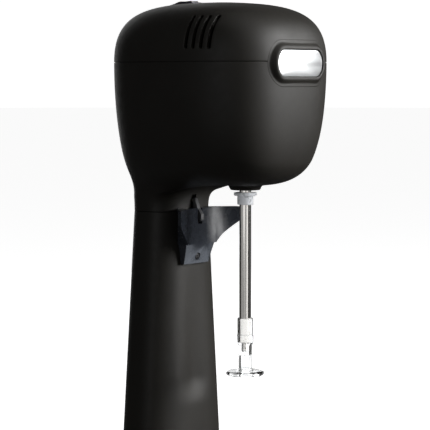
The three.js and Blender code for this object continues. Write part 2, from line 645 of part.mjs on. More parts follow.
function buildTopCover() {
  const shell = cut(formSolid(COVER_FORM, 0), formSolid(COVER_FORM, WALL, 0, 5));
  const lip = bandOf(COVER_FORM, 1, WALL + GAP, WALL + GAP + LIP, COVER_Z - LIP_HEIGHT, COVER_Z + 6);
  const seat = bandOf(COVER_FORM, 1, WALL - 0.4, WALL + GAP + LIP, COVER_LOW, COVER_Z + 6);
  const tabs = coverScrews.map(([x, y, z]) => solid(block(
    [x - 5, y - 6, z - 6], [x + WALL + 8, y + 6, COVER_Z + 6])));
  const inside = formSolid(COVER_FORM, WALL + GAP, 0, 60);
  const vents = Array.from({ length: VENT_COUNT }, (_, i) => {
    const outline = roundedRectangle(VENT_WIDTH, VENT_HIGH_Z - VENT_LOW_Z, VENT_WIDTH / 2 - 0.01, 3)
      .map(([x, z]) => [x + VENT_FIRST_X + i * VENT_PITCH, z + (VENT_HIGH_Z + VENT_LOW_Z) / 2]);
    return solid(slabOf(outline, -HEAD_HALF - 5, HEAD_HALF + 5));
  });
  const opening = solid(atSwitch(block(
    [-SWITCH_BODY_LENGTH / 2 - GAP, -SWITCH_BODY_WIDTH / 2 - GAP, -20],
    [SWITCH_BODY_LENGTH / 2 + GAP, SWITCH_BODY_WIDTH / 2 + GAP, 10])));
  const seatCut = solid(atSwitch(block(
    [-SWITCH_LENGTH / 2 - GAP, -SWITCH_WIDTH / 2 - GAP, 0],
    [SWITCH_LENGTH / 2 + GAP, SWITCH_WIDTH / 2 + GAP, 10])));
  const holes = coverScrews.map((place) => screwHole(place, [-1, 0, 0]));
  const walls = joined(shell, lip, seat, ...tabs.map((tab) => tab.intersect(inside)));
  add('top_cover', BODY_PAINT, cut(walls, ...vents, opening, seatCut, badgePocket(), ...holes));
}

function leverSlot() {
  return solid(block(
    [NECK_FRONT_X - 9, -LEVER_SLOT_HALF, LEVER_SLOT_LOW],
    [NECK_FRONT_X + 9, LEVER_SLOT_HALF, TAB_Z + 3]));
}

function buildHeadHousing() {
  const shell = cut(headSolid, formSolid(HEAD_FORM, WALL, 5, 5));
  const boss = onAxis(turned([
    [0, BOSS_Z], [BOSS_LOW_R - 1.4, BOSS_Z], [BOSS_LOW_R, BOSS_Z + 1], [BOSS_TOP_R, UNDERSIDE_Z + 0.6],
    [12.5, UNDERSIDE_Z + 1], [12.5, BUSH_TOP_Z], [0, BUSH_TOP_Z],
  ]));
  const bore = onAxis(disc(BUSH_BORE_R, SEAL_Z, BUSH_TOP_Z + 1));
  const mouth = onAxis(disc(COLLAR_BODY_R, BOSS_Z - 1, SEAL_Z + 1));
  const postTop = MOTOR_Z - BUSH_HEIGHT - GAP;
  const post = ([x, y]) => solid(moved(disc(BUSH_R - 1, UNDERSIDE_Z - 10, postTop, SMALL_ROUND), x, y, 0));
  const posts = bushPlaces().map((place) => post(place).intersect(headSolid));
  const holes = [
    ...coverScrews.map((place) => screwHole(place, [-1, 0, 0])),
    ...neckScrews.map((place) => screwHole(place, [-1, 0, 0])),
  ];
  const walls = joined(shell, solid(boss), ...posts);
  const shaftCuts = [solid(bore), solid(mouth)];
  add('head_housing', BODY_PAINT, cut(walls, ...shaftCuts, leverSlot(), badgePocket(), ...holes));
}

// The four places where the motor rests on its rubber bushes.
function bushPlaces() {
  return [[1, 1], [-1, 1], [-1, -1], [1, -1]].map(([sideX, sideY]) => [
    SPINDLE_X + sideX * BUSH_OFFSET, sideY * BUSH_OFFSET]);
}

const PLATE_TOP_Z = BASE_UNDER_Z + 0.4 + PLATE_THICK;
const POST_R = 4.4;
const basePoint = (turn, inset) => sectionPoint(flatSection(PEDESTAL_FORM, 5, inset, 0), turn, false);
const around = (turn) => [turn, Math.PI - turn, Math.PI + turn, -turn];
const screwPlaces = () => around(POST_TURN).map((turn) => basePoint(turn, WALL + POST_R - 1.4));
const footPlaces = () => around(FOOT_TURN).map((turn) => basePoint(turn, FOOT_INSET));

function buildPedestal() {
  const outer = formSolid(PEDESTAL_FORM, 0);
  const shell = cut(outer, formSolid(PEDESTAL_FORM, WALL, 5, 5));
  const lip = bandOf(PEDESTAL_FORM, 0, WALL + GAP, WALL + GAP + LIP, NECK_Z - 6, NECK_Z + 11);
  const seat = bandOf(PEDESTAL_FORM, 0, WALL - 0.4, WALL + GAP + LIP, NECK_Z - 6, COLUMN_TOP);
  const posts = screwPlaces().map(({ x, y }) => solid(
    moved(disc(POST_R, PLATE_TOP_Z + GAP, BASE_TOP_Z - 6, SMALL_ROUND), x, y, 0)).intersect(outer));
  const screws = screwPlaces().map(({ x, y }) => screwHole([x, y, BASE_UNDER_Z + 2.6], [0, 0, -1]));
  const neckHoles = neckScrews.map((place) => screwHole(place, [-1, 0, 0]));
  const gland = moved(disc(GLAND_R + GAP, -10, 10, SMALL_ROUND).rotateY(Math.PI / 2), -BASE_REAR, 0, GLAND_Z);
  const bracketHoles = [
    screwHole(BRACKET_SCREW, [1, 0, 0]),
    ...hiddenScrews.map((place) => screwHole(place, [-1, 0, 0])),
  ];
  const walls = joined(shell, lip, seat, ...posts);
  add('pedestal_housing', BODY_PAINT,
    cut(walls, ...screws, ...neckHoles, solid(gland), leverSlot(), ...bracketHoles));
}

function buildBase() {
  const ring = (z) => ringOf(flatSection(PEDESTAL_FORM, 5, WALL + 0.5, z), false);
  const plate = solid(loft([ring(PLATE_TOP_Z), ring(BASE_UNDER_Z + 0.4)]));
  const holes = screwPlaces().map(({ x, y }) => screwHole([x, y, BASE_UNDER_Z + 2.6], [0, 0, -1]));
  add('base_plate', CAST_METAL, cut(plate, ...holes));
  screwPlaces().forEach(({ x, y }, i) => {
    add(`base_screw_${i + 1}`, SATIN_METAL, placed(screwShape(), [x, y, BASE_UNDER_Z + 2.6], [0, 0, -1]));
  });
  footPlaces().forEach(({ x, y }, i) => {
    const foot = turned([
      [0, 0], [FOOT_R - 1.4, 0], [FOOT_R - 0.6, 1], [FOOT_R, BASE_UNDER_Z], [FOOT_R, BASE_UNDER_Z + 0.1],
      [0, BASE_UNDER_Z + 0.1],
    ]);
    add(`foot_${i + 1}`, RUBBER, solid(moved(foot, x, y, 0)));
  });
  const gland = tube(GLAND_R, 3.4, -1.2, 7, SMALL_ROUND);
  const flange = tube(GLAND_R + 3.2, 3.4, -1.4, -GAP, SMALL_ROUND);
  const nut = tube(GLAND_R + 2.4, GLAND_R - 0.5, WALL + 1.2, WALL + 4.4, 6);
  const bush = joined(solid(gland), solid(flange), solid(nut));
  add('cable_gland', RUBBER, placed(bush, [-BASE_REAR, 0, GLAND_Z], [1, 0, 0]));
}

// ---------- Badge ----------

function buildBadge() {
  const inner = solid(plateOf(badgeOutline(BADGE_LENGTH + 2 * GAP, BADGE_HEIGHT + 2 * GAP),
    POCKET_X - 20, BEZEL_FRONT_X + 5));
  const behind = joined(
    cut(headOver, bezelPrism(0, POCKET_X + GAP, BEZEL_FRONT_X + 5)),
    cut(formSolid(COVER_FORM, -GAP, 0, SEAM), bezelPrism(0, POCKET_X + GAP, BEZEL_FRONT_X + 5)),
  );
  const ring = cut(bezelPrism(0, POCKET_X - 12, BEZEL_FRONT_X), behind, inner);
  add('badge_bezel', BODY_PAINT, ring);
  const plateBack = POCKET_X + GAP;
  const plate = plateOf(badgeOutline(BADGE_LENGTH, BADGE_HEIGHT), plateBack, plateBack + BADGE_THICK);
  add('badge_plate', SATIN_METAL, solid(plate));
}

// ---------- Power switch ----------

function buildPowerSwitch() {
  const flange = prismOf(roundedRectangle(SWITCH_LENGTH, SWITCH_WIDTH, 2), GAP, SWITCH_FLANGE + GAP);
  const body = block(
    [-SWITCH_BODY_LENGTH / 2, -SWITCH_BODY_WIDTH / 2, -SWITCH_DEPTH],
    [SWITCH_BODY_LENGTH / 2, SWITCH_BODY_WIDTH / 2, SWITCH_FLANGE]);
  const window = block(
    [-SWITCH_WINDOW_LENGTH / 2, -SWITCH_WINDOW_WIDTH / 2, -9.5],
    [SWITCH_WINDOW_LENGTH / 2, SWITCH_WINDOW_WIDTH / 2, 10]);
  const blades = [-8, 0, 8].map((x) => solid(block(
    [x - 0.4, -3, -SWITCH_DEPTH - 7],
    [x + 0.4, 3, -SWITCH_DEPTH + 1])));
  const frame = cut(joined(solid(flange), solid(body), ...blades), solid(window));
  add('switch_frame', SWITCH_PLASTIC, atSwitch(geometryOf(frame)));
  const half = SWITCH_WINDOW_LENGTH / 2 - 0.8;
  const outline = [
    [-half, 0], [-half * 0.6, -3.2], [-2.6, -5.6], [2.6, -5.6], [half * 0.6, -3.2], [half, 0],
    [half, ROCKER_END], [0, ROCKER_RIDGE], [-half, ROCKER_END],
  ];
  const rocker = slabOf(outline, -SWITCH_WINDOW_WIDTH / 2 + GAP, SWITCH_WINDOW_WIDTH / 2 - GAP);
  add('switch_rocker', SWITCH_PLASTIC, atSwitch(geometryOf(solid(rocker))));
}

// ---------- Cup bracket and lever ----------

function buildBracket() {
  const wallAt = (y) => BRACKET_AXIS_X - Math.sqrt(BRACKET_WALL_R ** 2 - y ** 2);
  const plan = [];
  const steps = 16;
  for (let i = 0; i <= steps; i += 1) {
    const y = -BRACKET_HALF + (2 * BRACKET_HALF * i) / steps;
    plan.push([wallAt(y), y]);
  }
  const gussetX = wallAt(BRACKET_CREASE_HALF) - BRACKET_GUSSET;
  const tipX = wallAt(BRACKET_HALF) - BRACKET_ARM;
  plan.push([tipX, BRACKET_HALF], [gussetX, BRACKET_CREASE_HALF], [gussetX - 3, 14]);
  plan.push([gussetX - 3, -14], [gussetX, -BRACKET_CREASE_HALF], [tipX, -BRACKET_HALF]);
  const half = [
    [BRACKET_HALF - 1.5, BRACKET_TOP_Z], [BRACKET_HALF, BRACKET_TOP_Z - 1.5], [BRACKET_HALF, TIP_Z],
    [0.62 * BRACKET_HALF, THREE.MathUtils.lerp(TIP_Z, CREASE_Z, 0.62)],
    [BRACKET_CREASE_HALF, CREASE_Z], [BRACKET_FOOT_HALF + 0.6, CREASE_Z - 10],
    [BRACKET_FOOT_HALF, BRACKET_LOW_Z + 1.5], [BRACKET_FOOT_HALF - 1.5, BRACKET_LOW_Z],
  ];
  const mirror = half.map(([y, z]) => [-y, z]).reverse();
  const face = plateOf([...half.reverse(), ...mirror.reverse()].reverse(), gussetX - 10, BRACKET_AXIS_X);
  const wedge = slabOf([
    [BRACKET_WALL_X + 0.6, CREASE_Z], [BRACKET_WALL_X + 40, CREASE_Z],
    [BRACKET_WALL_X + 40, BRACKET_LOW_Z - 5], [BRACKET_WALL_X - BRACKET_FOOT_SLOPE - 1.4, BRACKET_LOW_Z - 5],
  ], -BRACKET_HALF, BRACKET_HALF);
  const slotLow = PIVOT[2] + BRACKET_SLOT_RISE;
  const nose = block(
    [BRACKET_WALL_X - 20, -LEVER_SLOT_HALF, slotLow],
    [BRACKET_WALL_X + 9, LEVER_SLOT_HALF, BRACKET_TOP_Z + 5]);
  const well = block(
    [BRACKET_WALL_X - 20, -LEVER_SLOT_HALF, LEVER_SLOT_LOW],
    [BRACKET_WALL_X - 2.2, LEVER_SLOT_HALF, slotLow + 1]);
  const pinHalf = LEVER_PIN_LENGTH / 2 + GAP;
  const pin = moved(acrossDisc(LEVER_PIN_R + GAP, pinHalf), ...PIVOT);
  const screws = [
    screwHole(BRACKET_SCREW, [1, 0, 0]),
    ...hiddenScrews.map((place) => screwHole(place, [-1, 0, 0])),
  ];
  const body = solid(prismOf(plan, BRACKET_LOW_Z, BRACKET_TOP_Z)).intersect(solid(face));
  add('cup_bracket', DARK_PLASTIC,
    cut(body, solid(wedge), columnOver, headOver, solid(nose), solid(well), solid(pin), ...screws));
  add('bracket_screw_1', SATIN_METAL, placed(screwShape(), BRACKET_SCREW, [1, 0, 0]));
  hiddenScrews.forEach((place, i) => {
    add(`bracket_screw_${i + 2}`, SATIN_METAL, placed(screwShape(), place, [-1, 0, 0]));
  });
}

function buildLever() {
  const [pivotX, , pivotZ] = PIVOT;
  const blade = [
    [pivotX - 1.6, pivotZ], [pivotX + 1.6, pivotZ], [pivotX + 2.2, pivotZ + 12],
    [BRACKET_WALL_X + LEVER_NOSE, pivotZ + 14], [BRACKET_WALL_X + LEVER_NOSE, pivotZ + 20],
    [BRACKET_WALL_X - 1, BRACKET_TOP_Z - 0.6], [TAB_X + 4.4, TAB_Z - 0.8], [TAB_X + 3.4, TAB_Z],
    [TAB_X + 1.2, TAB_Z], [TAB_X + 0.6, TAB_Z - 1], [pivotX - 0.6, BRACKET_TOP_Z - 3],
  ];
  const hub = moved(acrossDisc(LEVER_HUB_R, LEVER_HALF), ...PIVOT);
  const bore = moved(acrossDisc(LEVER_PIN_R + GAP, LEVER_HALF + 1), ...PIVOT);
  add('cup_lever', DARK_PLASTIC,
    cut(joined(solid(slabOf(blade, -LEVER_HALF, LEVER_HALF)), solid(hub)), solid(bore)));
  add('lever_pin', STEEL, solid(moved(acrossDisc(LEVER_PIN_R, LEVER_PIN_LENGTH / 2), ...PIVOT)));
  const [depth, width, height] = MICROSWITCH_SIZE;
  const frontX = NECK_FRONT_X - WALL - LIP - 2.5 - GAP;
  const plungerX = TAB_X + 0.6 - GAP;
  const caseBlock = block(
    [frontX - depth, -width / 2, PLUNGER_Z - height / 2],
    [frontX, width / 2, PLUNGER_Z + height / 2]);
  const guideHole = solid(disc(PLUNGER_R + GAP, -depth + 2, 5, SMALL_ROUND));
  const guide = placed(guideHole, [frontX, 0, PLUNGER_Z], [1, 0, 0]);
  const blades = [-6, 0, 6].map((z) => solid(block(
    [frontX - depth - 6, -2.4, PLUNGER_Z + z - 0.4], [frontX - depth + 1, 2.4, PLUNGER_Z + z + 0.4])));
  add('microswitch', DARK_PLASTIC, cut(joined(solid(caseBlock), ...blades), solid(guide)));
  const rod = [
    [0, -PLUNGER_LENGTH], [PLUNGER_R, -PLUNGER_LENGTH], [PLUNGER_R, -0.5], [PLUNGER_R - 0.6, 0], [0, 0],
  ];
  add('switch_plunger', NYLON, placed(solid(turned(rod, SMALL_ROUND)), [plungerX, 0, PLUNGER_Z], [1, 0, 0]));
}

// ---------- Motor ----------

// A ring sector between two angles, as an outline.
function sectorOutline(inner, outer, from, to, steps = 8) {
  const arc = (radius, start, end) => Array.from({ length: steps + 1 }, (_, i) => {
    const turn = start + ((end - start) * i) / steps;
    return [radius * Math.cos(turn), radius * Math.sin(turn)];
  });
  return [...arc(outer, from, to), ...arc(inner, to, from)];
}

const POLE_HALF = 0.87;
const COIL_HALF = 1.36;
const POLE_INNER = ARMATURE_R + AIR_GAP;
const COIL_OUTER = STATOR_R - STATOR_YOKE - GAP;

function buildStator() {
  const yoke = solid(tube(STATOR_R, STATOR_R - STATOR_YOKE, STACK_Z, STACK_TOP, 36));
  const poles = [0, Math.PI].map((middle) => solid(prismOf(
    sectorOutline(POLE_INNER, STATOR_R - 1, middle - POLE_HALF, middle + POLE_HALF), STACK_Z, STACK_TOP)));
  add('stator_core', LAMINATED_IRON, onAxis(geometryOf(joined(yoke, ...poles))));
  [0, Math.PI].forEach((middle, i) => {
    const coil = sectorOutline(POLE_INNER + 1.4, COIL_OUTER, middle - COIL_HALF, middle + COIL_HALF, 12);
    const outer = prismOf(coil, STACK_Z - WINDING_HEIGHT + 1, STACK_TOP + WINDING_HEIGHT - 1);
    const pole = prismOf(
      sectorOutline(POLE_INNER - 3, STATOR_R, middle - POLE_HALF - 0.04, middle + POLE_HALF + 0.04),
      STACK_Z - GAP, STACK_TOP + GAP);
    add(`stator_coil_${i + 1}`, COPPER, onAxis(geometryOf(cut(solid(outer), solid(pole)))));
  });
}

// A motor bracket: a plate with a bearing hub on one face and two legs to the stator on the other.
function motorBracket(low, hubSide, legEnd, plateOutline) {
  const top = low + BRACKET_PLATE;
  const plate = prismOf(plateOutline, low, top);
  const hub = hubSide < 0
    ? disc(BEARING_R + HUB_WALL, low - BEARING_HEIGHT - GAP, low + 1)
    : disc(BEARING_R + HUB_WALL, top - 1, top + BEARING_HEIGHT + GAP);
  const seat = hubSide < 0
    ? disc(BEARING_R + GAP, low - BEARING_HEIGHT - 1, low)
    : disc(BEARING_R + GAP, top, top + BEARING_HEIGHT + 1);
  const bore = disc(SHAFT_R + 2, low - 20, top + 20);
  const legs = [-1, 1].map((side) => {
    const near = STATOR_R - STATOR_YOKE + 0.8;
    const far = STATOR_R - 1.2;
    const ends = [near * side, far * side].sort((a, b) => a - b);
    const heights = hubSide < 0 ? [top - 1, legEnd] : [legEnd, low + 1];
    return solid(block([-9, ends[0], heights[0]], [9, ends[1], heights[1]]));
  });
  const vents = [0, 1, 2, 3].map((i) => solid(prismOf(
    sectorOutline(BEARING_R + HUB_WALL + 3, 28, i * Math.PI / 2 - 0.5, i * Math.PI / 2 + 0.5, 5),
    low - 1, top + 1)));
  return cut(joined(solid(plate), solid(hub), ...legs), solid(seat), solid(bore), ...vents);
}

function buildMotorBrackets() {
  const lowerOutline = roundedRectangle(2 * (BUSH_OFFSET + BUSH_R + 1), 2 * (BUSH_OFFSET + BUSH_R + 1), 9);
  const upperOutline = Array.from({ length: ROUND }, (_, i) => {
    const turn = (i / ROUND) * 2 * Math.PI;
    return [(STATOR_R + 1) * Math.cos(turn), (STATOR_R + 1) * Math.sin(turn)];
  });
  const lower = motorBracket(MOTOR_Z, -1, STACK_Z - GAP, lowerOutline);
  const upper = motorBracket(UPPER_PLATE_Z, 1, STACK_TOP + GAP, upperOutline);
  add('motor_lower_bracket', CAST_METAL, onAxis(geometryOf(lower)));
  add('motor_upper_bracket', CAST_METAL, onAxis(geometryOf(upper)));
  const bearing = (low) => onAxis(tube(BEARING_R, SHAFT_R + GAP, low, low + BEARING_HEIGHT - GAP));
  add('bearing_lower', STEEL, solid(bearing(MOTOR_Z - BEARING_HEIGHT)));
  add('bearing_upper', STEEL, solid(bearing(UPPER_PLATE_TOP + GAP)));
  bushPlaces().forEach(([x, y], i) => {
    const bush = turned([
      [0, MOTOR_Z - BUSH_HEIGHT], [BUSH_R, MOTOR_Z - BUSH_HEIGHT], [BUSH_R - 1.2, MOTOR_Z - BUSH_HEIGHT / 2],
      [BUSH_R, MOTOR_Z - GAP], [0, MOTOR_Z - GAP],
    ], SMALL_ROUND);
    add(`motor_bush_${i + 1}`, RUBBER, solid(moved(bush, x, y, 0)));
  });
}

function buildBrushes() {
  const top = UPPER_PLATE_Z - GAP;
  const low = COMMUTATOR_Z + 2;
  const middle = (top + low) / 2;
  [1, -1].forEach((side, i) => {
    const along = (from, to) => [from, to].map((out) => SPINDLE_X + side * out).sort((a, b) => a - b);
    const [holderNear, holderFar] = along(COMMUTATOR_R + 2, STATOR_R - 2);
    const [boreNear, boreFar] = along(COMMUTATOR_R, STATOR_R - 4);
    const [brushNear, brushFar] = along(COMMUTATOR_R + GAP, COMMUTATOR_R + 17);
    const holder = cut(
      solid(block([holderNear, -5, low], [holderFar, 5, top])),
      solid(block([boreNear, -3.3, middle - 4.3], [boreFar, 3.3, middle + 4.3])),
    );
    add(`brush_holder_${i + 1}`, BRASS, holder);
    const brush = block([brushNear, -3, middle - 4], [brushFar, 3, middle + 4]);
    add(`carbon_brush_${i + 1}`, CARBON, solid(brush));
  });
}

function buildRotor() {
  const bore = SHAFT_R + GAP;
  add('motor_shaft', STEEL, solid(onAxis(disc(SHAFT_R, SPINDLE_TOP_Z + 1, SHAFT_TOP_Z))));
  const slots = Array.from({ length: ARMATURE_SLOTS }, (_, i) => {
    const slot = block([ARMATURE_R - 4, -0.9, STACK_Z - 1], [ARMATURE_R + 2, 0.9, STACK_TOP + 1]);
    return solid(slot.rotateZ(((i + 0.5) / ARMATURE_SLOTS) * 2 * Math.PI));
  });
  const core = cut(solid(tube(ARMATURE_R, bore, STACK_Z, STACK_TOP, 36)), ...slots);
  add('armature_core', LAMINATED_IRON, onAxis(geometryOf(core)));
  const winding = (low, high) => solid(onAxis(turned([
    [bore, low], [ARMATURE_R - 4, low], [ARMATURE_R - 1.5, low + 2.5], [ARMATURE_R - 1.5, high - 2.5],
    [ARMATURE_R - 4, high], [bore, high], [bore, low],
  ])));
  add('armature_winding_lower', COPPER, winding(STACK_Z - WINDING_HEIGHT, STACK_Z - GAP));
  add('armature_winding_upper', COPPER, winding(STACK_TOP + GAP, STACK_TOP + WINDING_HEIGHT));
  const commutator = cut(
    solid(tube(COMMUTATOR_R, bore, COMMUTATOR_Z, COMMUTATOR_Z + COMMUTATOR_HEIGHT, 36)),
    ...Array.from({ length: COMMUTATOR_BARS }, (_, i) => {
      const groove = block([COMMUTATOR_R - 0.8, -0.2, COMMUTATOR_Z - 1],
        [COMMUTATOR_R + 1, 0.2, COMMUTATOR_Z + COMMUTATOR_HEIGHT + 1]);
      return solid(groove.rotateZ(((i + 0.5) / COMMUTATOR_BARS) * 2 * Math.PI));
    }),
  );
  add('commutator', COPPER, onAxis(geometryOf(commutator)));
  const fanHub = solid(tube(9, bore, FAN_Z, FAN_Z + FAN_HEIGHT));
  const backPlate = solid(tube(FAN_R, 8, FAN_Z, FAN_Z + 1.6, 36));
  const blades = Array.from({ length: FAN_BLADES }, (_, i) => {
    const blade = block([8, -0.8, FAN_Z + 1], [FAN_R - 1, 0.8, FAN_Z + FAN_HEIGHT - 1]);
    return solid(blade.rotateZ((i / FAN_BLADES) * 2 * Math.PI));
  });
  add('cooling_fan', NYLON, onAxis(geometryOf(joined(fanHub, backPlate, ...blades))));
  add('drive_coupling', BRASS, solid(onAxis(tube(COUPLING_R, SHAFT_R + GAP, COUPLING_Z,
    COUPLING_Z + COUPLING_LENGTH))));
}

// ---------- Spindle, collar and agitator ----------

function buildSpindle() {
  const boreR = SPINDLE_R + GAP;
  const studLow = SHOULDER_Z - STUD_LENGTH;
  add('spindle_bush', BRONZE, solid(onAxis(tube(BUSH_BORE_R - GAP, boreR, SEAL_Z + 4 + GAP, BUSH_TOP_Z))));
  add('shaft_seal', RUBBER, solid(onAxis(tube(BUSH_BORE_R - GAP, boreR, SEAL_Z + GAP, SEAL_Z + 4))));
  add('spindle_shaft', STEEL, solid(onAxis(turned([
    [0, studLow], [STUD_R - 0.4, studLow], [STUD_R, studLow + 0.6], [STUD_R, SHOULDER_Z],
    [SPINDLE_R, SHOULDER_Z], [SPINDLE_R, COUPLING_Z - 1], [SHAFT_R, COUPLING_Z - 0.4],
    [SHAFT_R, SPINDLE_TOP_Z], [0, SPINDLE_TOP_Z],
  ]))));
  const collarLow = COLLAR_TOP_Z - COLLAR_HEIGHT;
  add('shaft_collar', WHITE_PLASTIC, solid(onAxis(turned([
    [boreR, collarLow], [COLLAR_BODY_R - 0.6, collarLow], [COLLAR_BODY_R, collarLow + 0.8],
    [COLLAR_BODY_R, COLLAR_TOP_Z - COLLAR_FLANGE], [COLLAR_R, COLLAR_TOP_Z - COLLAR_FLANGE],
    [COLLAR_R, COLLAR_TOP_Z - 0.7], [COLLAR_R - 0.8, COLLAR_TOP_Z], [boreR, COLLAR_TOP_Z], [boreR, collarLow],
  ]))));
}

function buildAgitator() {
  const sleeveR = SPINDLE_R + GAP + SLEEVE_WALL;
  const boreZ = SHOULDER_Z - GAP;
  const ringTop = SHOULDER_Z + RING_LENGTH;
  const ringR = sleeveR + 0.5;
  const webTop = SHOULDER_Z - STUD_LENGTH - 0.6;
  const stemLow = SHOULDER_Z - STEM_LENGTH;
  const discTop = stemLow - 1.9;
  const discLow = discTop - DISC_THICK;
  const stem = onAxis(turned([
    [0, webTop - 3], [STEM_BORE_R, webTop - 3], [STEM_BORE_R, discLow], [STEM_R + 1, discLow],
    [STEM_R + 1, discTop], [FLANGE_R, discTop], [FLANGE_R, stemLow], [STEM_R, stemLow],
    [STEM_R, SHOULDER_Z - 3.4],
    [ringR, SHOULDER_Z], [ringR, ringTop], [sleeveR, ringTop], [sleeveR, ringTop + SLEEVE_LENGTH],
    [SPINDLE_R + GAP, ringTop + SLEEVE_LENGTH], [SPINDLE_R + GAP, boreZ], [STUD_R + GAP, boreZ],
    [STUD_R + GAP, webTop], [0, webTop],
  ]));
  const petalSteps = DISC_PETALS * PETAL_STEPS;
  const petals = Array.from({ length: petalSteps }, (_, i) => {
    const turn = (i / petalSteps) * 2 * Math.PI;
    const radius = DISC_R - DISC_WAVE * (0.5 - 0.5 * Math.cos(DISC_PETALS * turn));
    return [radius * Math.cos(turn), radius * Math.sin(turn)];
  });
  const wheel = cut(
    solid(prismOf(petals, discLow + 0.3, discTop - 0.5)),
    solid(disc(STEM_BORE_R + 1, discLow - 1, discTop + 1)),
  );
  add('agitator', CLEAR_PLASTIC, joined(solid(stem), solid(onAxis(geometryOf(wheel)))));
}

// ---------- Wiring ----------

function buildElectronics() {
  const boardX = -HEAD_REACH + 30;
  const boardZ = COVER_Z - 66;
  const board = solid(block([boardX, -28, boardZ], [boardX + 1.6, 28, boardZ + 44]));
  add('control_board', BOARD, board);
  const capacitor = prismOf(roundedRectangle(9, 26, 1.5), boardZ + 6, boardZ + 24);
  add('suppression_capacitor', SWITCH_PLASTIC, solid(moved(capacitor, boardX + 1.6 + GAP + 4.5, 12, 0)));
  const terminal = solid(block([boardX + 1.6 + GAP, -26, boardZ + 28], [boardX + 12, 6, boardZ + 40]));
  const wells = Array.from({ length: 5 }, (_, i) => solid(block(
    [boardX + 4, -24 + i * 6, boardZ + 30], [boardX + 20, -20.4 + i * 6, boardZ + 38])));
  add('terminal_block', NYLON, cut(terminal, ...wells));
}

function buildScrews() {
  coverScrews.forEach((place, i) => {
    add(`cover_screw_${i + 1}`, SATIN_METAL, placed(screwShape(), place, [-1, 0, 0]));
  });
  neckScrews.forEach((place, i) => {
    add(`neck_screw_${i + 1}`, SATIN_METAL, placed(screwShape(), place, [-1, 0, 0]));
  });
}

buildTopCover();
buildHeadHousing();
buildPedestal();
buildBase();
buildBadge();
buildPowerSwitch();
buildBracket();
buildLever();
buildStator();
buildMotorBrackets();
buildBrushes();
buildRotor();
buildSpindle();
buildAgitator();
buildElectronics();
buildScrews();

export default group;
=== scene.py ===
"""Looks of a single-spindle stand mixer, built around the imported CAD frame. Metres, +X front, +Z up."""

import json
import math

import bmesh
import bpy
import numpy as np
from mathutils import Matrix, Vector
from mathutils.bvhtree import BVHTree


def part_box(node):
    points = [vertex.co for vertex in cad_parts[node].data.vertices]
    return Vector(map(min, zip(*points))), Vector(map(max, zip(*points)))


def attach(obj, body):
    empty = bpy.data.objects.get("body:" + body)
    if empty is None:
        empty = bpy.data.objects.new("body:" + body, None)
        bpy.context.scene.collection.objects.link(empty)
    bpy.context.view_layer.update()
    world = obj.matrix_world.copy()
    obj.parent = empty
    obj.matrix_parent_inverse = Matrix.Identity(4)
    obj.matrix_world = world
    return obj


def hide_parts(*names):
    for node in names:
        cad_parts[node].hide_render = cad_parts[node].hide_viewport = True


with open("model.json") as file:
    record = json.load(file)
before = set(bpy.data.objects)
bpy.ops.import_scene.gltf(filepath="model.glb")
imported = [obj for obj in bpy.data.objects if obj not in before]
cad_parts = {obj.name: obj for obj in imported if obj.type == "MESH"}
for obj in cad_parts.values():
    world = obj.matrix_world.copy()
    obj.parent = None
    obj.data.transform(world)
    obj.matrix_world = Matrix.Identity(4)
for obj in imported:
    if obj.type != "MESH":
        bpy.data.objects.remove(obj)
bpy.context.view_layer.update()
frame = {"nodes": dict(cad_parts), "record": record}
MM = 0.001

# ---------- Camera ----------

camera_data = bpy.data.cameras.new("camera")
camera_data.lens = 140.0
camera_data.sensor_width = 36.0
camera_data.clip_end = 60.0
camera_data.shift_y = -0.075
camera = bpy.data.objects.new("camera", camera_data)
bpy.context.scene.collection.objects.link(camera)
CAMERA_AT = Vector((1.0285, -1.2257, 0.4144))
CAMERA_AIM = Vector((-0.0035, -0.0030, 0.3161))
camera.location = CAMERA_AT
camera.rotation_euler = (CAMERA_AIM - CAMERA_AT).to_track_quat("-Z", "Y").to_euler()
bpy.context.scene.camera = camera

# ---------- Dimensions, in millimetres, the same as the CAD's ----------

HEAD_REACH = 97
HEAD_HALF = 84.2
CROWN_Z = 487.6
COVER_Z = 431
UNDERSIDE_Z = 315.2
NECK_Z = 287.7
BASE_FRONT = 98
BASE_REAR = 96.5
BASE_HALF = 85
SPINDLE_X = 31.5
HEAD_SQUARE = 2.85
COLUMN_SQUARE = 2.5
BASE_SQUARE = 2.7
NECK_FRONT_X = SPINDLE_X - 65.2
NECK_DEPTH = 56
NECK_HALF = 40.2
NECK_REAR = NECK_DEPTH - NECK_FRONT_X
NECK_MIDDLE = NECK_FRONT_X - NECK_DEPTH / 2
COLUMN_FOOT_Z = 58
BASE_TOP_Z = 30
BASE_RIM_Z = 14
BASE_UNDER_Z = 3.4
GROOVE_DEPTH = 4.2
GROOVE_HALF = 17
GROOVE_TOP_Z = 245
GROOVE_DEEP_Z = 124
GROOVE_LOW_Z = 98
WALL = 2.8
SEAM = 0.5
GAP = 0.3
LIP = 1.6
COVER_LOW = COVER_Z + SEAM / 2
HEAD_TOP = COVER_Z - SEAM / 2
NECK_LOW = NECK_Z + SEAM / 2
COLUMN_TOP = NECK_Z - SEAM / 2
DOME = CROWN_Z - COVER_Z
FOOT_FRONT_X = NECK_FRONT_X + 4.9
FOOT_HALF = NECK_HALF + 16

# ---------- Shell forms ----------


def lerp(a, b, share):
    return a + (b - a) * share


def smoothstep(x, start, end):
    share = np.clip((x - start) / (end - start), 0, 1)
    return share * share * (3 - 2 * share)


def straight(a, b):
    third = [(lerp(a[0], b[0], k / 3), lerp(a[1], b[1], k / 3)) for k in (1, 2)]
    return [*third, b]


def dome_outline(reach):
    return [(0, CROWN_Z), (0.7 * reach, CROWN_Z), (reach, CROWN_Z - 0.13 * DOME), (reach, COVER_LOW)]


def wall_z(share):
    return UNDERSIDE_Z + share * (COVER_Z - UNDERSIDE_Z)


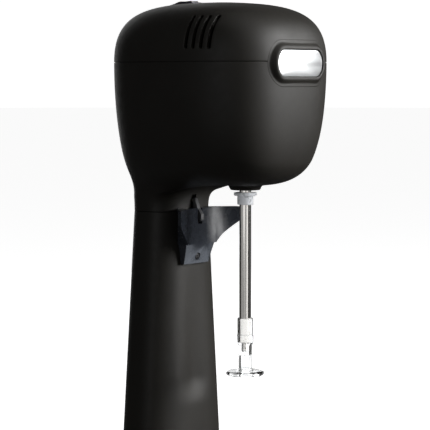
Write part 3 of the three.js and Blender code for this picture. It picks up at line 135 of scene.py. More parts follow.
COVER_FORM = {
    "front": dome_outline(HEAD_REACH),
    "rear": dome_outline(HEAD_REACH),
    "side": dome_outline(HEAD_HALF),
    "middle": (0, 0, 0, 1),
    "power": (2.5, HEAD_SQUARE, 0, 1),
}
HEAD_FORM = {
    "front": [
        (HEAD_REACH, HEAD_TOP), (HEAD_REACH, wall_z(0.83)), (0.991 * HEAD_REACH, wall_z(0.4)),
        (0.88 * HEAD_REACH, wall_z(0.17)),
        (0.79 * HEAD_REACH, wall_z(0.02)), (0.6 * HEAD_REACH, UNDERSIDE_Z), (0.45 * HEAD_REACH, UNDERSIDE_Z),
        (0.25 * HEAD_REACH, UNDERSIDE_Z), (NECK_FRONT_X + 45, UNDERSIDE_Z), (NECK_FRONT_X + 24, UNDERSIDE_Z),
        (NECK_FRONT_X + 5, UNDERSIDE_Z), (NECK_FRONT_X, UNDERSIDE_Z - 4), (NECK_FRONT_X, NECK_LOW),
    ],
    "rear": [
        (HEAD_REACH, HEAD_TOP), (HEAD_REACH, wall_z(0.775)), (0.995 * HEAD_REACH, wall_z(0.56)),
        (0.974 * HEAD_REACH, wall_z(0.32)),
        (0.966 * HEAD_REACH, wall_z(0.22)), (NECK_REAR + 2.9, wall_z(0.14)), (NECK_REAR + 1.7, wall_z(0.06)),
        (NECK_REAR + 0.9, UNDERSIDE_Z), (NECK_REAR + 0.3, UNDERSIDE_Z - 6),
        (NECK_REAR + 0.1, UNDERSIDE_Z - 12),
        (NECK_REAR, UNDERSIDE_Z - 17), (NECK_REAR, UNDERSIDE_Z - 22), (NECK_REAR, NECK_LOW),
    ],
    "side": [
        (HEAD_HALF, HEAD_TOP), (HEAD_HALF, wall_z(0.775)), (0.97 * HEAD_HALF, wall_z(0.49)),
        (0.874 * HEAD_HALF, wall_z(0.3)),
        (0.822 * HEAD_HALF, wall_z(0.18)), (0.74 * HEAD_HALF, wall_z(0.12)),
        (0.65 * HEAD_HALF, wall_z(0.06)),
        (0.575 * HEAD_HALF, wall_z(0.01)), (NECK_HALF + 3.2, UNDERSIDE_Z - 3),
        (NECK_HALF + 1.4, UNDERSIDE_Z - 10),
        (NECK_HALF + 0.4, UNDERSIDE_Z - 14), (NECK_HALF, UNDERSIDE_Z - 20), (NECK_HALF, NECK_LOW),
    ],
    "middle": (0, NECK_MIDDLE, 0.5, 3.3),
    "power": (HEAD_SQUARE, COLUMN_SQUARE, 0.5, 3),
}
PEDESTAL_FORM = {
    "front": [
        (NECK_FRONT_X, COLUMN_TOP),
        *straight((NECK_FRONT_X, COLUMN_TOP), (FOOT_FRONT_X, COLUMN_FOOT_Z)),
        (FOOT_FRONT_X + 0.8, COLUMN_FOOT_Z - 16), (FOOT_FRONT_X + 10, BASE_TOP_Z + 4.6),
        (FOOT_FRONT_X + 32, BASE_TOP_Z + 3),
        (FOOT_FRONT_X + 62, BASE_TOP_Z + 0.8), (BASE_FRONT - 32, BASE_TOP_Z - 1.6),
        (BASE_FRONT - 11, BASE_TOP_Z - 4.2),
        (BASE_FRONT - 3, BASE_TOP_Z - 5.2), (BASE_FRONT, BASE_RIM_Z + 7), (BASE_FRONT, BASE_RIM_Z),
        *straight((BASE_FRONT, BASE_RIM_Z), (BASE_FRONT, BASE_UNDER_Z)),
    ],
    "rear": [
        (NECK_REAR, COLUMN_TOP),
        *straight((NECK_REAR, COLUMN_TOP), (BASE_REAR - 0.5, COLUMN_FOOT_Z)),
        (BASE_REAR - 0.2, COLUMN_FOOT_Z - 8), (BASE_REAR, COLUMN_FOOT_Z - 16), (BASE_REAR, BASE_TOP_Z + 6),
        *straight((BASE_REAR, BASE_TOP_Z + 6), (BASE_REAR, BASE_TOP_Z - 5)),
        *straight((BASE_REAR, BASE_TOP_Z - 5), (BASE_REAR, BASE_RIM_Z)),
        *straight((BASE_REAR, BASE_RIM_Z), (BASE_REAR, BASE_UNDER_Z)),
    ],
    "side": [
        (NECK_HALF, COLUMN_TOP),
        *straight((NECK_HALF, COLUMN_TOP), (FOOT_HALF, COLUMN_FOOT_Z)),
        (FOOT_HALF + 1.2, COLUMN_FOOT_Z - 14), (FOOT_HALF + 3, BASE_TOP_Z + 4),
        (FOOT_HALF + 9, BASE_TOP_Z + 0.5),
        (FOOT_HALF + 12, BASE_TOP_Z - 1.2), (BASE_HALF - 11, BASE_TOP_Z - 2.4),
        (BASE_HALF - 8, BASE_TOP_Z - 3.7),
        (BASE_HALF - 3, BASE_TOP_Z - 5.8), (BASE_HALF, BASE_RIM_Z + 7), (BASE_HALF, BASE_RIM_Z),
        *straight((BASE_HALF, BASE_RIM_Z), (BASE_HALF, BASE_UNDER_Z)),
    ],
    "middle": (NECK_MIDDLE, 0, 1, 4),
    "power": (COLUMN_SQUARE, BASE_SQUARE, 1, 4),
    "grooved": True,
}
SHELL_AROUND = 176


def chain_point(chain, t, inset):
    """A point of a chain of cubic curves, set in along its normal."""
    piece = min(int(t), (len(chain) - 1) // 3 - 1)
    a, b, c, d = (np.array(p, float) for p in chain[piece * 3:piece * 3 + 4])
    s = t - piece
    point = a * (1 - s) ** 3 + 3 * b * s * (1 - s) ** 2 + 3 * c * s * s * (1 - s) + d * s ** 3
    along = 3 * (b - a) * (1 - s) ** 2 + 6 * (c - b) * s * (1 - s) + 3 * (d - c) * s * s
    along /= np.linalg.norm(along)
    return point[0] + along[1] * inset, point[1] - along[0] * inset


def eased(levels, t):
    return lerp(levels[0], levels[1], float(smoothstep(t, levels[2], levels[3])))


def section_ring(form, t, inset=0.0, z=None, grooved=None):
    """The ring of points of a form's section at t, in millimetres. A given z lays it flat."""
    front, front_z = chain_point(form["front"], t, inset)
    rear, rear_z = chain_point(form["rear"], t, inset)
    half, side_z = chain_point(form["side"], t, inset)
    if z is not None:
        front_z = rear_z = side_z = z
    middle, power = eased(form["middle"], t), eased(form["power"], t)
    phi = np.arange(SHELL_AROUND) * (2 * math.pi / SHELL_AROUND)
    c, s = np.cos(phi), np.sin(phi)
    a, b = np.abs(c) ** power, np.abs(s) ** power
    total = a + b
    px = c / total ** (1 / power)
    py = s / total ** (1 / power)
    forward = c > 0
    reach = np.where(forward, front - middle, rear + middle)
    end_z = np.where(forward, front_z, rear_z)
    y = half * py
    height = side_z + (end_z - side_z) * (a / total)
    x = middle + reach * px
    if form.get("grooved") if grooved is None else grooved:
        ramp = np.clip((GROOVE_TOP_Z - height) / (GROOVE_TOP_Z - GROOVE_DEEP_Z), 0, 1)
        fade = smoothstep(height, GROOVE_LOW_Z, GROOVE_DEEP_Z)
        x = x - np.where(forward, GROOVE_DEPTH * ramp * fade * np.exp(-((y / GROOVE_HALF) ** 2)), 0)
    return np.stack([x, y, height], axis=1)


# ---------- Mesh helpers ----------


def new_object(name, vertices, faces, scale=MM):
    mesh = bpy.data.meshes.new(name)
    mesh.from_pydata([tuple(v * scale for v in p) for p in vertices], [], faces)
    mesh.validate()
    made = bpy.data.objects.new(name, mesh)
    bpy.context.scene.collection.objects.link(made)
    return made


def rings_mesh(name, rings, closed=False, scale=MM):
    """A mesh through rings of equal length: capped at both ends, or closed like a tube's wall."""
    count = len(rings[0])
    vertices = [tuple(p) for ring in rings for p in ring]
    faces = []
    last = len(rings) if closed else len(rings) - 1
    for k in range(last):
        low, high = k * count, ((k + 1) % len(rings)) * count
        for i in range(count):
            j = (i + 1) % count
            faces.append((low + i, low + j, high + j, high + i))
    if not closed:
        for k, order in ((0, -1), (len(rings) - 1, 1)):
            centre = len(vertices)
            vertices.append(tuple(np.mean(np.array(rings[k]), axis=0)))
            for i in range(count):
                j = (i + 1) % count
                a, b = (k * count + i, k * count + j)[::order]
                faces.append((a, b, centre))
    made = new_object(name, vertices, faces, scale)
    outward(made)
    return made


def outward(obj):
    """Turns every face of a closed mesh outwards."""
    editing = bmesh.new()
    editing.from_mesh(obj.data)
    bmesh.ops.remove_doubles(editing, verts=editing.verts, dist=1e-7)
    bmesh.ops.recalc_face_normals(editing, faces=editing.faces)
    if editing.calc_volume(signed=True) < 0:
        bmesh.ops.reverse_faces(editing, faces=editing.faces)
    editing.to_mesh(obj.data)
    editing.free()


def turned(name, profile, around=64, centre=(SPINDLE_X, 0.0)):
    """A solid of revolution about +Z from (radius, height) pairs, closed by its axis or by its last point."""
    turns = np.arange(around) * (2 * math.pi / around)
    rings = [
        np.stack([centre[0] + max(r, 1e-3) * np.cos(turns), centre[1] + max(r, 1e-3) * np.sin(turns),
                  np.full(around, z)], axis=1)
        for r, z in profile
    ]
    on_axis = profile[0][0] == 0 and profile[-1][0] == 0
    if on_axis:
        return rings_mesh(name, rings[1:-1])
    return rings_mesh(name, rings, closed=True)


def rounded(profile, radius, steps=4, closed=False):
    """The same profile with its corners rounded. A radius of zero keeps a corner."""
    points = [np.array(p, float) for p in profile]
    radii = radius if hasattr(radius, "__len__") else [radius] * len(points)
    out = []
    count = len(points)
    for i, point in enumerate(points):
        if radii[i] <= 0 or (not closed and i in (0, count - 1)):
            out.append(tuple(point))
            continue
        before, after = points[i - 1] - point, points[(i + 1) % count] - point
        la, lb = np.linalg.norm(before), np.linalg.norm(after)
        bend = math.acos(float(np.clip(before @ after / (la * lb), -1, 1)))
        if math.pi - bend < 0.02:
            out.append(tuple(point))
            continue
        back = min(radii[i] / math.tan(bend / 2), 0.48 * la, 0.48 * lb)
        start, end = point + before / la * back, point + after / lb * back
        for k in range(steps + 1):
            s = k / steps
            out.append(tuple(start * (1 - s) ** 2 + 2 * point * s * (1 - s) + end * s * s))
    return out


def outline_rings(outline, levels):
    """Rings from an outline of (x, y), each level (inset, z), offset along the outline's own normals."""
    points = np.array(outline, float)
    ahead, behind = np.roll(points, -1, axis=0), np.roll(points, 1, axis=0)
    first, second = points - behind, ahead - points
    first /= np.linalg.norm(first, axis=1)[:, None]
    second /= np.linalg.norm(second, axis=1)[:, None]
    normal = np.stack([first[:, 1] + second[:, 1], -first[:, 0] - second[:, 0]], axis=1)
    length = np.linalg.norm(normal, axis=1)[:, None]
    normal = normal / length
    mitre = 1 / np.maximum(0.5 * length, 0.35)
    area = 0.5 * np.sum(points[:, 0] * ahead[:, 1] - ahead[:, 0] * points[:, 1])
    side = 1 if area > 0 else -1
    return [
        np.concatenate([points - side * inset * normal * mitre, np.full((len(points), 1), z)], axis=1)
        for inset, z in levels
    ]


def edge_levels(low, high, radius, steps=3):
    """Levels for a slab whose top and bottom edges are rounded."""
    turns = [k / steps * math.pi / 2 for k in range(steps + 1)]
    arc = [(radius * (1 - math.sin(turn)), radius * (1 - math.cos(turn))) for turn in turns]
    upper = [(inset, high - rise) for inset, rise in arc[::-1]]
    return [*[(inset, low + rise) for inset, rise in arc], *upper]


def slab(name, outline, low, high, radius=0.4, basis=None, around_corners=0.0):
    """A slab between two levels with rounded edges. A basis turns its own x, y and z elsewhere."""
    shape = rounded(outline, around_corners, closed=True) if around_corners else outline
    rings = outline_rings(shape, edge_levels(low, high, radius) if radius else [(0, low), (0, high)])
    if basis is not None:
        turn = np.array(basis, float)
        rings = [ring @ turn for ring in rings]
    return rings_mesh(name, rings)


XZ_SLAB = ((1, 0, 0), (0, 0, 1), (0, 1, 0))  # outline (x, z), thickness along y
YZ_SLAB = ((0, 1, 0), (0, 0, 1), (1, 0, 0))  # outline (y, z), thickness along x


def rounded_rectangle(length, width, radius, steps=6):
    outline = []
    for side_x, side_y, quarter in ((1, 1, 0), (-1, 1, 1), (-1, -1, 2), (1, -1, 3)):
        for i in range(steps + 1):
            turn = (quarter + i / steps) * math.pi / 2
            outline.append((side_x * (length / 2 - radius) + radius * math.cos(turn),
                            side_y * (width / 2 - radius) + radius * math.sin(turn)))
    return outline


def applied(obj):
    """Bakes the object's modifiers into its mesh."""
    bpy.context.view_layer.update()
    graph = bpy.context.evaluated_depsgraph_get()
    mesh = bpy.data.meshes.new_from_object(obj.evaluated_get(graph))
    obj.modifiers.clear()
    obj.data = mesh
    return obj


def boolean(obj, operation, *others):
    """Joins others to the object or cuts them from it, and removes them."""
    for other in others:
        modifier = obj.modifiers.new("cut", "BOOLEAN")
        modifier.operation = operation
        modifier.solver = "MANIFOLD"
        modifier.object = other
        applied(obj)
        bpy.data.objects.remove(other)
    return obj


def bevelled(obj, width, segments=2, angle=40.0):
    modifier = obj.modifiers.new("bevel", "BEVEL")
    modifier.width = width * MM
    modifier.segments = segments
    modifier.limit_method = "ANGLE"
    modifier.angle_limit = math.radians(angle)
    modifier.use_clamp_overlap = True
    return applied(obj)


def surface_of(*objects):
    """A search tree over meshes, in metres."""
    vertices, polygons = [], []
    for obj in objects:
        base = len(vertices)
        vertices += [v.co.copy() for v in obj.data.vertices]
        polygons += [[base + i for i in p.vertices] for p in obj.data.polygons]
    return BVHTree.FromPolygons(vertices, polygons)


def surface_at(tree, start, direction):
    """Where a ray first meets the surface, in millimetres."""
    hit = tree.ray_cast(Vector(start) * MM, Vector(direction))[0]
    return None if hit is None else hit / MM


def smooth(obj, angle=32.0):
    mesh = obj.data
    mesh.polygons.foreach_set("use_smooth", [True] * len(mesh.polygons))
    mesh.set_sharp_from_angle(angle=math.radians(angle))
    return obj


# ---------- Materials ----------


def material(name, color, roughness, metallic=0.0, grain=2600.0, bump=0.08, vary=0.12, rough_vary=0.06,
             wear=0.0, brushed=None, sockets=None):
    """A procedural finish: mottled colour and roughness, fine surface grain and slightly paler worn edges."""
    made = bpy.data.materials.new(name)
    made.use_nodes = True
    tree = made.node_tree
    shader = tree.nodes["Principled BSDF"]
    shader.inputs["Metallic"].default_value = metallic
    for socket, value in (sockets or {}).items():
        shader.inputs[socket].default_value = value
    where = tree.nodes.new("ShaderNodeTexCoord")
    mapping = tree.nodes.new("ShaderNodeMapping")
    mapping.inputs["Scale"].default_value = brushed or (1.0, 1.0, 1.0)
    tree.links.new(where.outputs["Object"], mapping.inputs["Vector"])

    def noise(scale, detail=3.0):
        node = tree.nodes.new("ShaderNodeTexNoise")
        node.inputs["Scale"].default_value = scale
        node.inputs["Detail"].default_value = detail
        tree.links.new(mapping.outputs["Vector"], node.inputs["Vector"])
        return node.outputs["Fac"]

    def spread(value, low, high, source=(0.3, 0.7)):
        node = tree.nodes.new("ShaderNodeMapRange")
        node.inputs["From Min"].default_value, node.inputs["From Max"].default_value = source
        node.inputs["To Min"].default_value, node.inputs["To Max"].default_value = low, high
        tree.links.new(value, node.inputs["Value"])
        return node.outputs["Result"]

    def mixed(share, first, second):
        node = tree.nodes.new("ShaderNodeMix")
        node.data_type = "RGBA"
        tree.links.new(share, node.inputs["Factor"])
        for socket, value in ((node.inputs["A"], first), (node.inputs["B"], second)):
            if isinstance(value, tuple):
                socket.default_value = (*value, 1.0)
            else:
                tree.links.new(value, socket)
        return node.outputs["Result"]

    darker = tuple(v * (1 - vary) for v in color)
    paler = tuple(min(1.0, v * (1 + vary) + 0.002 * vary) for v in color)
    shade = mixed(spread(noise(38.0, 5.0), 0.0, 1.0), darker, paler)
    if wear:
        shape = tree.nodes.new("ShaderNodeNewGeometry")
        edge = spread(shape.outputs["Pointiness"], 0.0, wear, (0.53, 0.62))
        worn = tuple(min(1.0, v * 1.5 + 0.01) for v in color)
        shade = mixed(edge, shade, worn)
    tree.links.new(shade, shader.inputs["Base Color"])
    tree.links.new(
        spread(noise(150.0, 4.0), max(0.0, roughness - rough_vary), roughness + rough_vary),
        shader.inputs["Roughness"],
    )
    relief = tree.nodes.new("ShaderNodeBump")
    relief.inputs["Strength"].default_value = bump
    relief.inputs["Distance"].default_value = 0.0002
    tree.links.new(noise(grain, 2.0), relief.inputs["Height"])
    tree.links.new(relief.outputs["Normal"], shader.inputs["Normal"])
    return made


BODY = material("body_paint", (0.0155, 0.0137, 0.0108), 0.54, bump=0.1, vary=0.1, rough_vary=0.03, wear=0.2,
                sockets={"Specular IOR Level": 0.42})
PLATE = material("satin_metal", (0.56, 0.57, 0.575), 0.34, metallic=0.85, bump=0.12, vary=0.03,
                 brushed=(1.0, 0.05, 1.0))
SCREW_METAL = material("zinc_screw", (0.55, 0.55, 0.54), 0.32, metallic=1.0, vary=0.08)
STEEL = material("polished_steel", (0.72, 0.7, 0.67), 0.17, metallic=1.0, bump=0.05, vary=0.04,
                 rough_vary=0.04, brushed=(1.0, 1.0, 0.06))
GLOSSY = material("glossy_plastic", (0.014, 0.015, 0.021), 0.2, bump=0.03, vary=0.1, rough_vary=0.03,
                  wear=0.3, sockets={"Specular IOR Level": 0.6, "Coat Weight": 0.3, "Coat Roughness": 0.08})
SLATE = material("slate_plastic", (0.036, 0.041, 0.052), 0.27, bump=0.04, vary=0.1, rough_vary=0.03, wear=0.2,
                 sockets={"Specular IOR Level": 0.5})
TAB = material("tab_plastic", (0.06, 0.06, 0.064), 0.45, bump=0.06, vary=0.08, wear=0.2)
DARK_SCREW = material("blackened_screw", (0.035, 0.035, 0.038), 0.4, metallic=0.6, vary=0.08)
SWITCH = material("switch_plastic", (0.045, 0.04, 0.055), 0.38, bump=0.08, vary=0.08, wear=0.3)
WHITE = material("white_plastic", (0.8, 0.82, 0.85), 0.3, bump=0.04, vary=0.02, wear=0.0,
                 sockets={"Transmission Weight": 0.35, "IOR": 1.45})
CLEAR = material("clear_plastic", (0.97, 0.98, 0.985), 0.05, bump=0.02, vary=0.005, rough_vary=0.02,
                 sockets={"Transmission Weight": 1.0, "IOR": 1.46})
RUBBER = material("rubber", (0.012, 0.012, 0.012), 0.85, bump=0.25, vary=0.15)
CAST = material("cast_metal", (0.36, 0.37, 0.375), 0.5, metallic=0.85, grain=1400.0, bump=0.3, vary=0.12)
IRON = material("laminated_iron", (0.1, 0.105, 0.11), 0.5, metallic=0.7, bump=0.3, vary=0.15,
                brushed=(0.1, 0.1, 2.0))
COPPER = material("copper_wire", (0.48, 0.19, 0.08), 0.34, metallic=0.9, bump=0.4, vary=0.15,
                  brushed=(0.2, 0.2, 1.0))
BRASS = material("brass", (0.55, 0.37, 0.12), 0.34, metallic=0.95, vary=0.08)
CARBON = material("carbon", (0.03, 0.03, 0.032), 0.7, metallic=0.2, bump=0.2, vary=0.2)
NYLON = material("nylon", (0.65, 0.62, 0.53), 0.5, vary=0.05)
BOARD = material("circuit_board", (0.03, 0.15, 0.055), 0.45, grain=700.0, bump=0.2, vary=0.18)
BRONZE = material("sintered_bronze", (0.38, 0.22, 0.09), 0.48, metallic=0.85, grain=1800.0,
                  bump=0.3, vary=0.15)

CAD_FINISH = {
    "body_paint": BODY, "satin_metal": SCREW_METAL, "steel": STEEL, "dark_plastic": GLOSSY,
    "switch_plastic": SWITCH, "white_plastic": WHITE, "clear_plastic": CLEAR, "rubber": RUBBER,
    "cast_metal": CAST, "laminated_iron": IRON, "copper": COPPER, "brass": BRASS, "carbon": CARBON,
    "nylon": NYLON, "board": BOARD, "bronze": BRONZE,
}
for entry in frame["record"]["materials"]:
    for node in entry.get("nodes", []):
        mesh = frame["nodes"][node].data
        mesh.materials.clear()
        mesh.materials.append(CAD_FINISH[entry["slot"]])


def dressed(obj, finish, slot, body, *nodes, angle=32.0):
    """Gives a finished piece its material and body, shades it smooth and hides the CAD nodes it stands for.
    The slot is not used.
    """
    smooth(obj, angle)
    obj.data.materials.clear()
    obj.data.materials.append(finish)
    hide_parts(*nodes)
    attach(obj, body)
    return obj


# ---------- Shells ----------

COVER_EDGE = 0.5  # radii of the shells' edges at the parting lines
HEAD_EDGE = 0.25
NECK_EDGE = 0.3
SEAM_DEPTH = 0.9  # how deep the parting line reads before the step behind it
SEAM_STEP = 0.4


def edge_roll(form, t, z, inward, radius, steps=5):
    """Rings round a shell's edge, from its outer face to its end face. Inward is +1 where it faces down."""
    turns = [k / steps * math.pi / 2 for k in range(steps + 1)]
    return [section_ring(form, t, radius * (1 - math.cos(a)), z + inward * radius * (1 - math.sin(a)), False)
            for a in turns]


def band(form, t, *levels):
    return [section_ring(form, t, inset, z, False) for inset, z in levels]


def spread_t(start, end, count):
    return [lerp(start, end, k / (count - 1)) for k in range(count)]


cover_outer = [section_ring(COVER_FORM, t) for t in spread_t(0.012, 0.985, 64)]
cover_inner = [section_ring(COVER_FORM, t, WALL) for t in spread_t(0.9, 0.02, 30)]
cover_lip = band(
    COVER_FORM, 1, (SEAM_DEPTH, COVER_LOW), (SEAM_DEPTH, COVER_LOW - SEAM_STEP),
    (WALL + GAP, COVER_LOW - SEAM_STEP),
    (WALL + GAP, COVER_Z - 5), (WALL + GAP + LIP, COVER_Z - 5),
    (WALL + GAP + LIP, COVER_Z + 4),
)
cover = rings_mesh("top_cover_shell", [*cover_outer, *edge_roll(COVER_FORM, 1, COVER_LOW, 1, COVER_EDGE),
                                       *cover_lip,
                                       *cover_inner])

head_outer = [section_ring(HEAD_FORM, t) for t in
              [*spread_t(0.02, 1, 22), *spread_t(1.045, 2, 22), *spread_t(2.05, 3, 16),
               *spread_t(3.03, 3.985, 30)]]
head_inner = [section_ring(HEAD_FORM, t, WALL) for t in spread_t(4, 0, 56)]
head = rings_mesh("head_shell", [
    *edge_roll(HEAD_FORM, 0, HEAD_TOP, -1, HEAD_EDGE)[::-1], *head_outer,
    *edge_roll(HEAD_FORM, 4, NECK_LOW, 1, NECK_EDGE), *head_inner,
], closed=True)

column_outer = [section_ring(PEDESTAL_FORM, t) for t in
                [*spread_t(0.01, 1, 70), *spread_t(1.04, 2, 22), *spread_t(2.05, 3, 14),
                 *spread_t(3.05, 4, 18),
                 *spread_t(4.2, 4.85, 3)]]
column_inner = [section_ring(PEDESTAL_FORM, t, WALL) for t in
                [*spread_t(5, 3, 12), *spread_t(2.9, 1.05, 16), *spread_t(1, 0.06, 20)]]
column_lip = band(
    PEDESTAL_FORM, 0, (WALL + GAP + LIP, NECK_Z - 6), (WALL + GAP + LIP, NECK_Z + 11),
    (WALL + GAP, NECK_Z + 11),
    (WALL + GAP, COLUMN_TOP),
)
pedestal = rings_mesh("pedestal_shell", [
    *edge_roll(PEDESTAL_FORM, 0, COLUMN_TOP, -1, NECK_EDGE)[::-1], *column_outer,
    *edge_roll(PEDESTAL_FORM, 5, BASE_UNDER_Z, 1, COVER_EDGE), *column_inner, *column_lip,
], closed=True)

skin = surface_of(cover, head)


# ---------- Badge ----------

BADGE_LENGTH = 66.5
BADGE_HEIGHT = 24.4
BADGE_THICK = 1.3
BADGE_Z = 429.7
BEZEL_RIM = 3.6
BEZEL_FRONT_X = HEAD_REACH + 0.9
BEZEL_BLEND = 4.2
POCKET_X = HEAD_REACH - 1.7
BADGE_CORNER = 4.5


def resampled(outline, count):
    """The same closed outline with evenly spaced points."""
    points = np.array([*outline, outline[0]], float)
    steps = np.linalg.norm(np.diff(points, axis=0), axis=1)
    along = np.concatenate([[0], np.cumsum(steps)])
    places = np.arange(count) * along[-1] / count
    return list(zip(np.interp(places, along, points[:, 0]), np.interp(places, along, points[:, 1])))


def badge_outline(count=280):
    """A bar with flat top and bottom, shallow round ends and rounded corners, as (y, z)."""
    bulge = 0.3 * BADGE_HEIGHT
    radius = (BADGE_HEIGHT ** 2 / 4 + bulge ** 2) / (2 * bulge)
    sweep = math.asin(BADGE_HEIGHT / 2 / radius)
    outline = []
    for side in (1, -1):
        for i in range(17):
            turn = sweep * (i / 8 - 1)
            outline.append((side * (BADGE_LENGTH / 2 - radius + radius * math.cos(turn)),
                            BADGE_Z + side * radius * math.sin(turn)))
    corner = [BADGE_CORNER if i in (0, 16, 17, 33) else 0 for i in range(34)]
    dense = resampled(rounded(outline, corner, steps=6, closed=True), count)
    return dense


def bare_corners(outline, keep):
    """Every point of an outline, eased towards its neighbours so that offsets stay even."""
    points = np.array(outline, float)
    for _ in range(keep):
        points = 0.5 * points + 0.25 * (np.roll(points, 1, axis=0) + np.roll(points, -1, axis=0))
    return [tuple(p) for p in points]


badge_line = bare_corners(badge_outline(), 14)


def front_x(y, z):
    """How far forward the head's skin is at (y, z), passing over the parting line."""
    level = z if abs(z - COVER_Z) > 1.4 else COVER_Z + 1.4
    return surface_at(skin, (200, y, level), (-1, 0, 0))[0]


def smooth_max(a, b, blend):
    share = max(blend - abs(a - b), 0) / blend
    return max(a, b) + share * share * blend / 4


def bezel_height(w):
    """Height of the bezel's own crown at a distance outside the plate."""
    inner = max(0, 1.3 - w)
    outer = max(0, w - 2.1)
    return BEZEL_FRONT_X - 0.55 * inner ** 2 - 0.3 * outer ** 2


bezel_rings = []
for w, x in ((0.5, POCKET_X + 0.2), (0.5, POCKET_X + 1.1)):
    bezel_rings += outline_rings(badge_line, [(-w, x)])
BEZEL_STEPS = (0.55, 0.7, 0.9, 1.1, 1.4, 1.8, 2.2, 2.6, 3.0, 3.4, 3.8, 4.2, 4.6, 5.0, 5.5, 6.0, 6.6, 7.2, 7.9,
               8.7, 9.5)
for w in BEZEL_STEPS:
    ring = outline_rings(badge_line, [(-w, 0)])[0]
    for point in ring:
        point[2] = smooth_max(front_x(point[0], point[1]) + 0.03, bezel_height(w), BEZEL_BLEND)
    bezel_rings.append(ring)
foot_ring = outline_rings(badge_line, [(-9.8, 0)])[0]
for point in foot_ring:
    point[2] = front_x(point[0], point[1]) - 0.5
bezel_rings += [foot_ring, *outline_rings(badge_line, [(-BEZEL_RIM, POCKET_X - 2.4), (-0.5, POCKET_X - 2.4)])]
bezel_rings = [ring @ np.array(YZ_SLAB, float) for ring in bezel_rings]
bezel = rings_mesh("bezel", bezel_rings, closed=True)
dressed(bezel, BODY, "body_paint", "housing", "badge_bezel", angle=60.0)

plate = slab("plate", badge_line, POCKET_X + GAP, POCKET_X + GAP + BADGE_THICK, radius=0.35, basis=YZ_SLAB)
dressed(plate, PLATE, "satin_metal", "housing", "badge_plate", angle=50.0)


def badge_pocket():
    outline = outline_from(-BEZEL_RIM - GAP)
    return slab("pocket", outline, POCKET_X, BEZEL_FRONT_X + 8, radius=0, basis=YZ_SLAB)


def outline_from(inset):
    return [tuple(p[:2]) for p in outline_rings(badge_line, [(inset, 0)])[0]]


# ---------- Cuts in the shells ----------

VENT_COUNT = 4
VENT_FIRST_X = 28.5
VENT_PITCH = 7.9
VENT_WIDTH = 3.2
VENT_LOW_Z = 442.5
VENT_HIGH_Z = 473
VENT_LIP = 0.55


def vent_cutter(x, side):
    """A slot through the cover's wall whose mouth is rounded where it meets the skin."""
    bar = rounded_rectangle(VENT_WIDTH, VENT_HIGH_Z - VENT_LOW_Z, VENT_WIDTH / 2 - 0.01, 8)
    outline = [(px + x, pz + (VENT_LOW_Z + VENT_HIGH_Z) / 2) for px, pz in resampled(bar, 96)]
    levels = [(VENT_LIP, -2.5), (VENT_LIP, -0.02)]
    for k in range(1, 6):
        depth = VENT_LIP * k / 5
        levels.append((VENT_LIP - math.sqrt(VENT_LIP ** 2 - (VENT_LIP - depth) ** 2), depth))
    levels.append((0, 14))
    rings = []
    for flare, depth in levels:
        ring = outline_rings(outline, [(-flare, 0)])[0]
        placed = []
        for px, pz, _ in ring:
            y = surface_at(skin, (px, side * 200, pz), (0, -side, 0))[1]
            placed.append((px, y - side * depth, pz))
        rings.append(np.array(placed))
    return rings_mesh("vent", rings)


vents = [vent_cutter(VENT_FIRST_X + VENT_PITCH * i, side) for i in range(VENT_COUNT) for side in (-1, 1)]

SWITCH_X = -46
SWITCH_LENGTH = 36
SWITCH_WIDTH = 16.5
SWITCH_FLANGE = 1.2
WINDOW_LENGTH = 31.4
WINDOW_WIDTH = 11.2


def crown_at(x):
    """Height and slope of the crown at a distance behind the middle."""
    low, high = 0.0, 1.0
    for _ in range(40):
        t = (low + high) / 2
        low, high = (t, high) if chain_point(COVER_FORM["rear"], t, 0)[0] < abs(x) else (low, t)
    here, after = chain_point(COVER_FORM["rear"], low, 0), chain_point(COVER_FORM["rear"], low + 0.01, 0)
    return here[1], math.atan2(here[1] - after[1], after[0] - here[0])


crown_z, crown_slope = crown_at(SWITCH_X)
SWITCH_PLACE = Matrix.Translation(Vector((SWITCH_X, 0, crown_z)) * MM) @ Matrix.Rotation(-crown_slope, 4, "Y")


def at_switch(obj):
    obj.data.transform(SWITCH_PLACE)
    return obj


switch_hole = at_switch(
    slab("hole", rounded_rectangle(SWITCH_LENGTH - 3.4, SWITCH_WIDTH - 3, 0.6), -20, 10, 0))
switch_seat = at_switch(
    slab("seat", rounded_rectangle(SWITCH_LENGTH + 0.8, SWITCH_WIDTH + 0.8, 2.4), 0, 10, 0))
boolean(cover, "DIFFERENCE", *vents, switch_hole, switch_seat, badge_pocket())
cover.name = "top_cover_shell"
dressed(cover, BODY, "body_paint", "housing", "top_cover")

# ---------- Head housing: boss, bore, lever slot and screw pockets ----------

BOSS_Z = UNDERSIDE_Z - 4.5
BUSH_TOP_Z = UNDERSIDE_Z + 11
LEVER_SLOT_HALF = 3.2
PIVOT_Z = 264.6
TAB_Z = 300.6

boss = turned("boss", rounded([
    (0, BOSS_Z), (14, BOSS_Z), (16.1, UNDERSIDE_Z - 0.4), (21, UNDERSIDE_Z + 0.35), (21, UNDERSIDE_Z + 1.4),
    (12.5, UNDERSIDE_Z + 1.6), (12.5, BUSH_TOP_Z), (0, BUSH_TOP_Z),
], [0, 1.0, 2.2, 0, 0, 0, 0, 0], steps=6), around=96)
bore = turned("bore", [(0, BOSS_Z + 1.5), (9.3, BOSS_Z + 1.5), (9.3, BUSH_TOP_Z + 1), (0, BUSH_TOP_Z + 1)])
mouth = turned("mouth", rounded([(0, BOSS_Z - 1), (8.6, BOSS_Z - 1), (7.6, BOSS_Z + 0.5), (7.6, BOSS_Z + 2.4),
                                 (0, BOSS_Z + 2.4)], [0, 0, 0.8, 0, 0]))


def box(name, low, high):
    outline = [(low[0], low[1]), (high[0], low[1]), (high[0], high[1]), (low[0], high[1])]
    return slab(name, outline, low[2], high[2], radius=0)


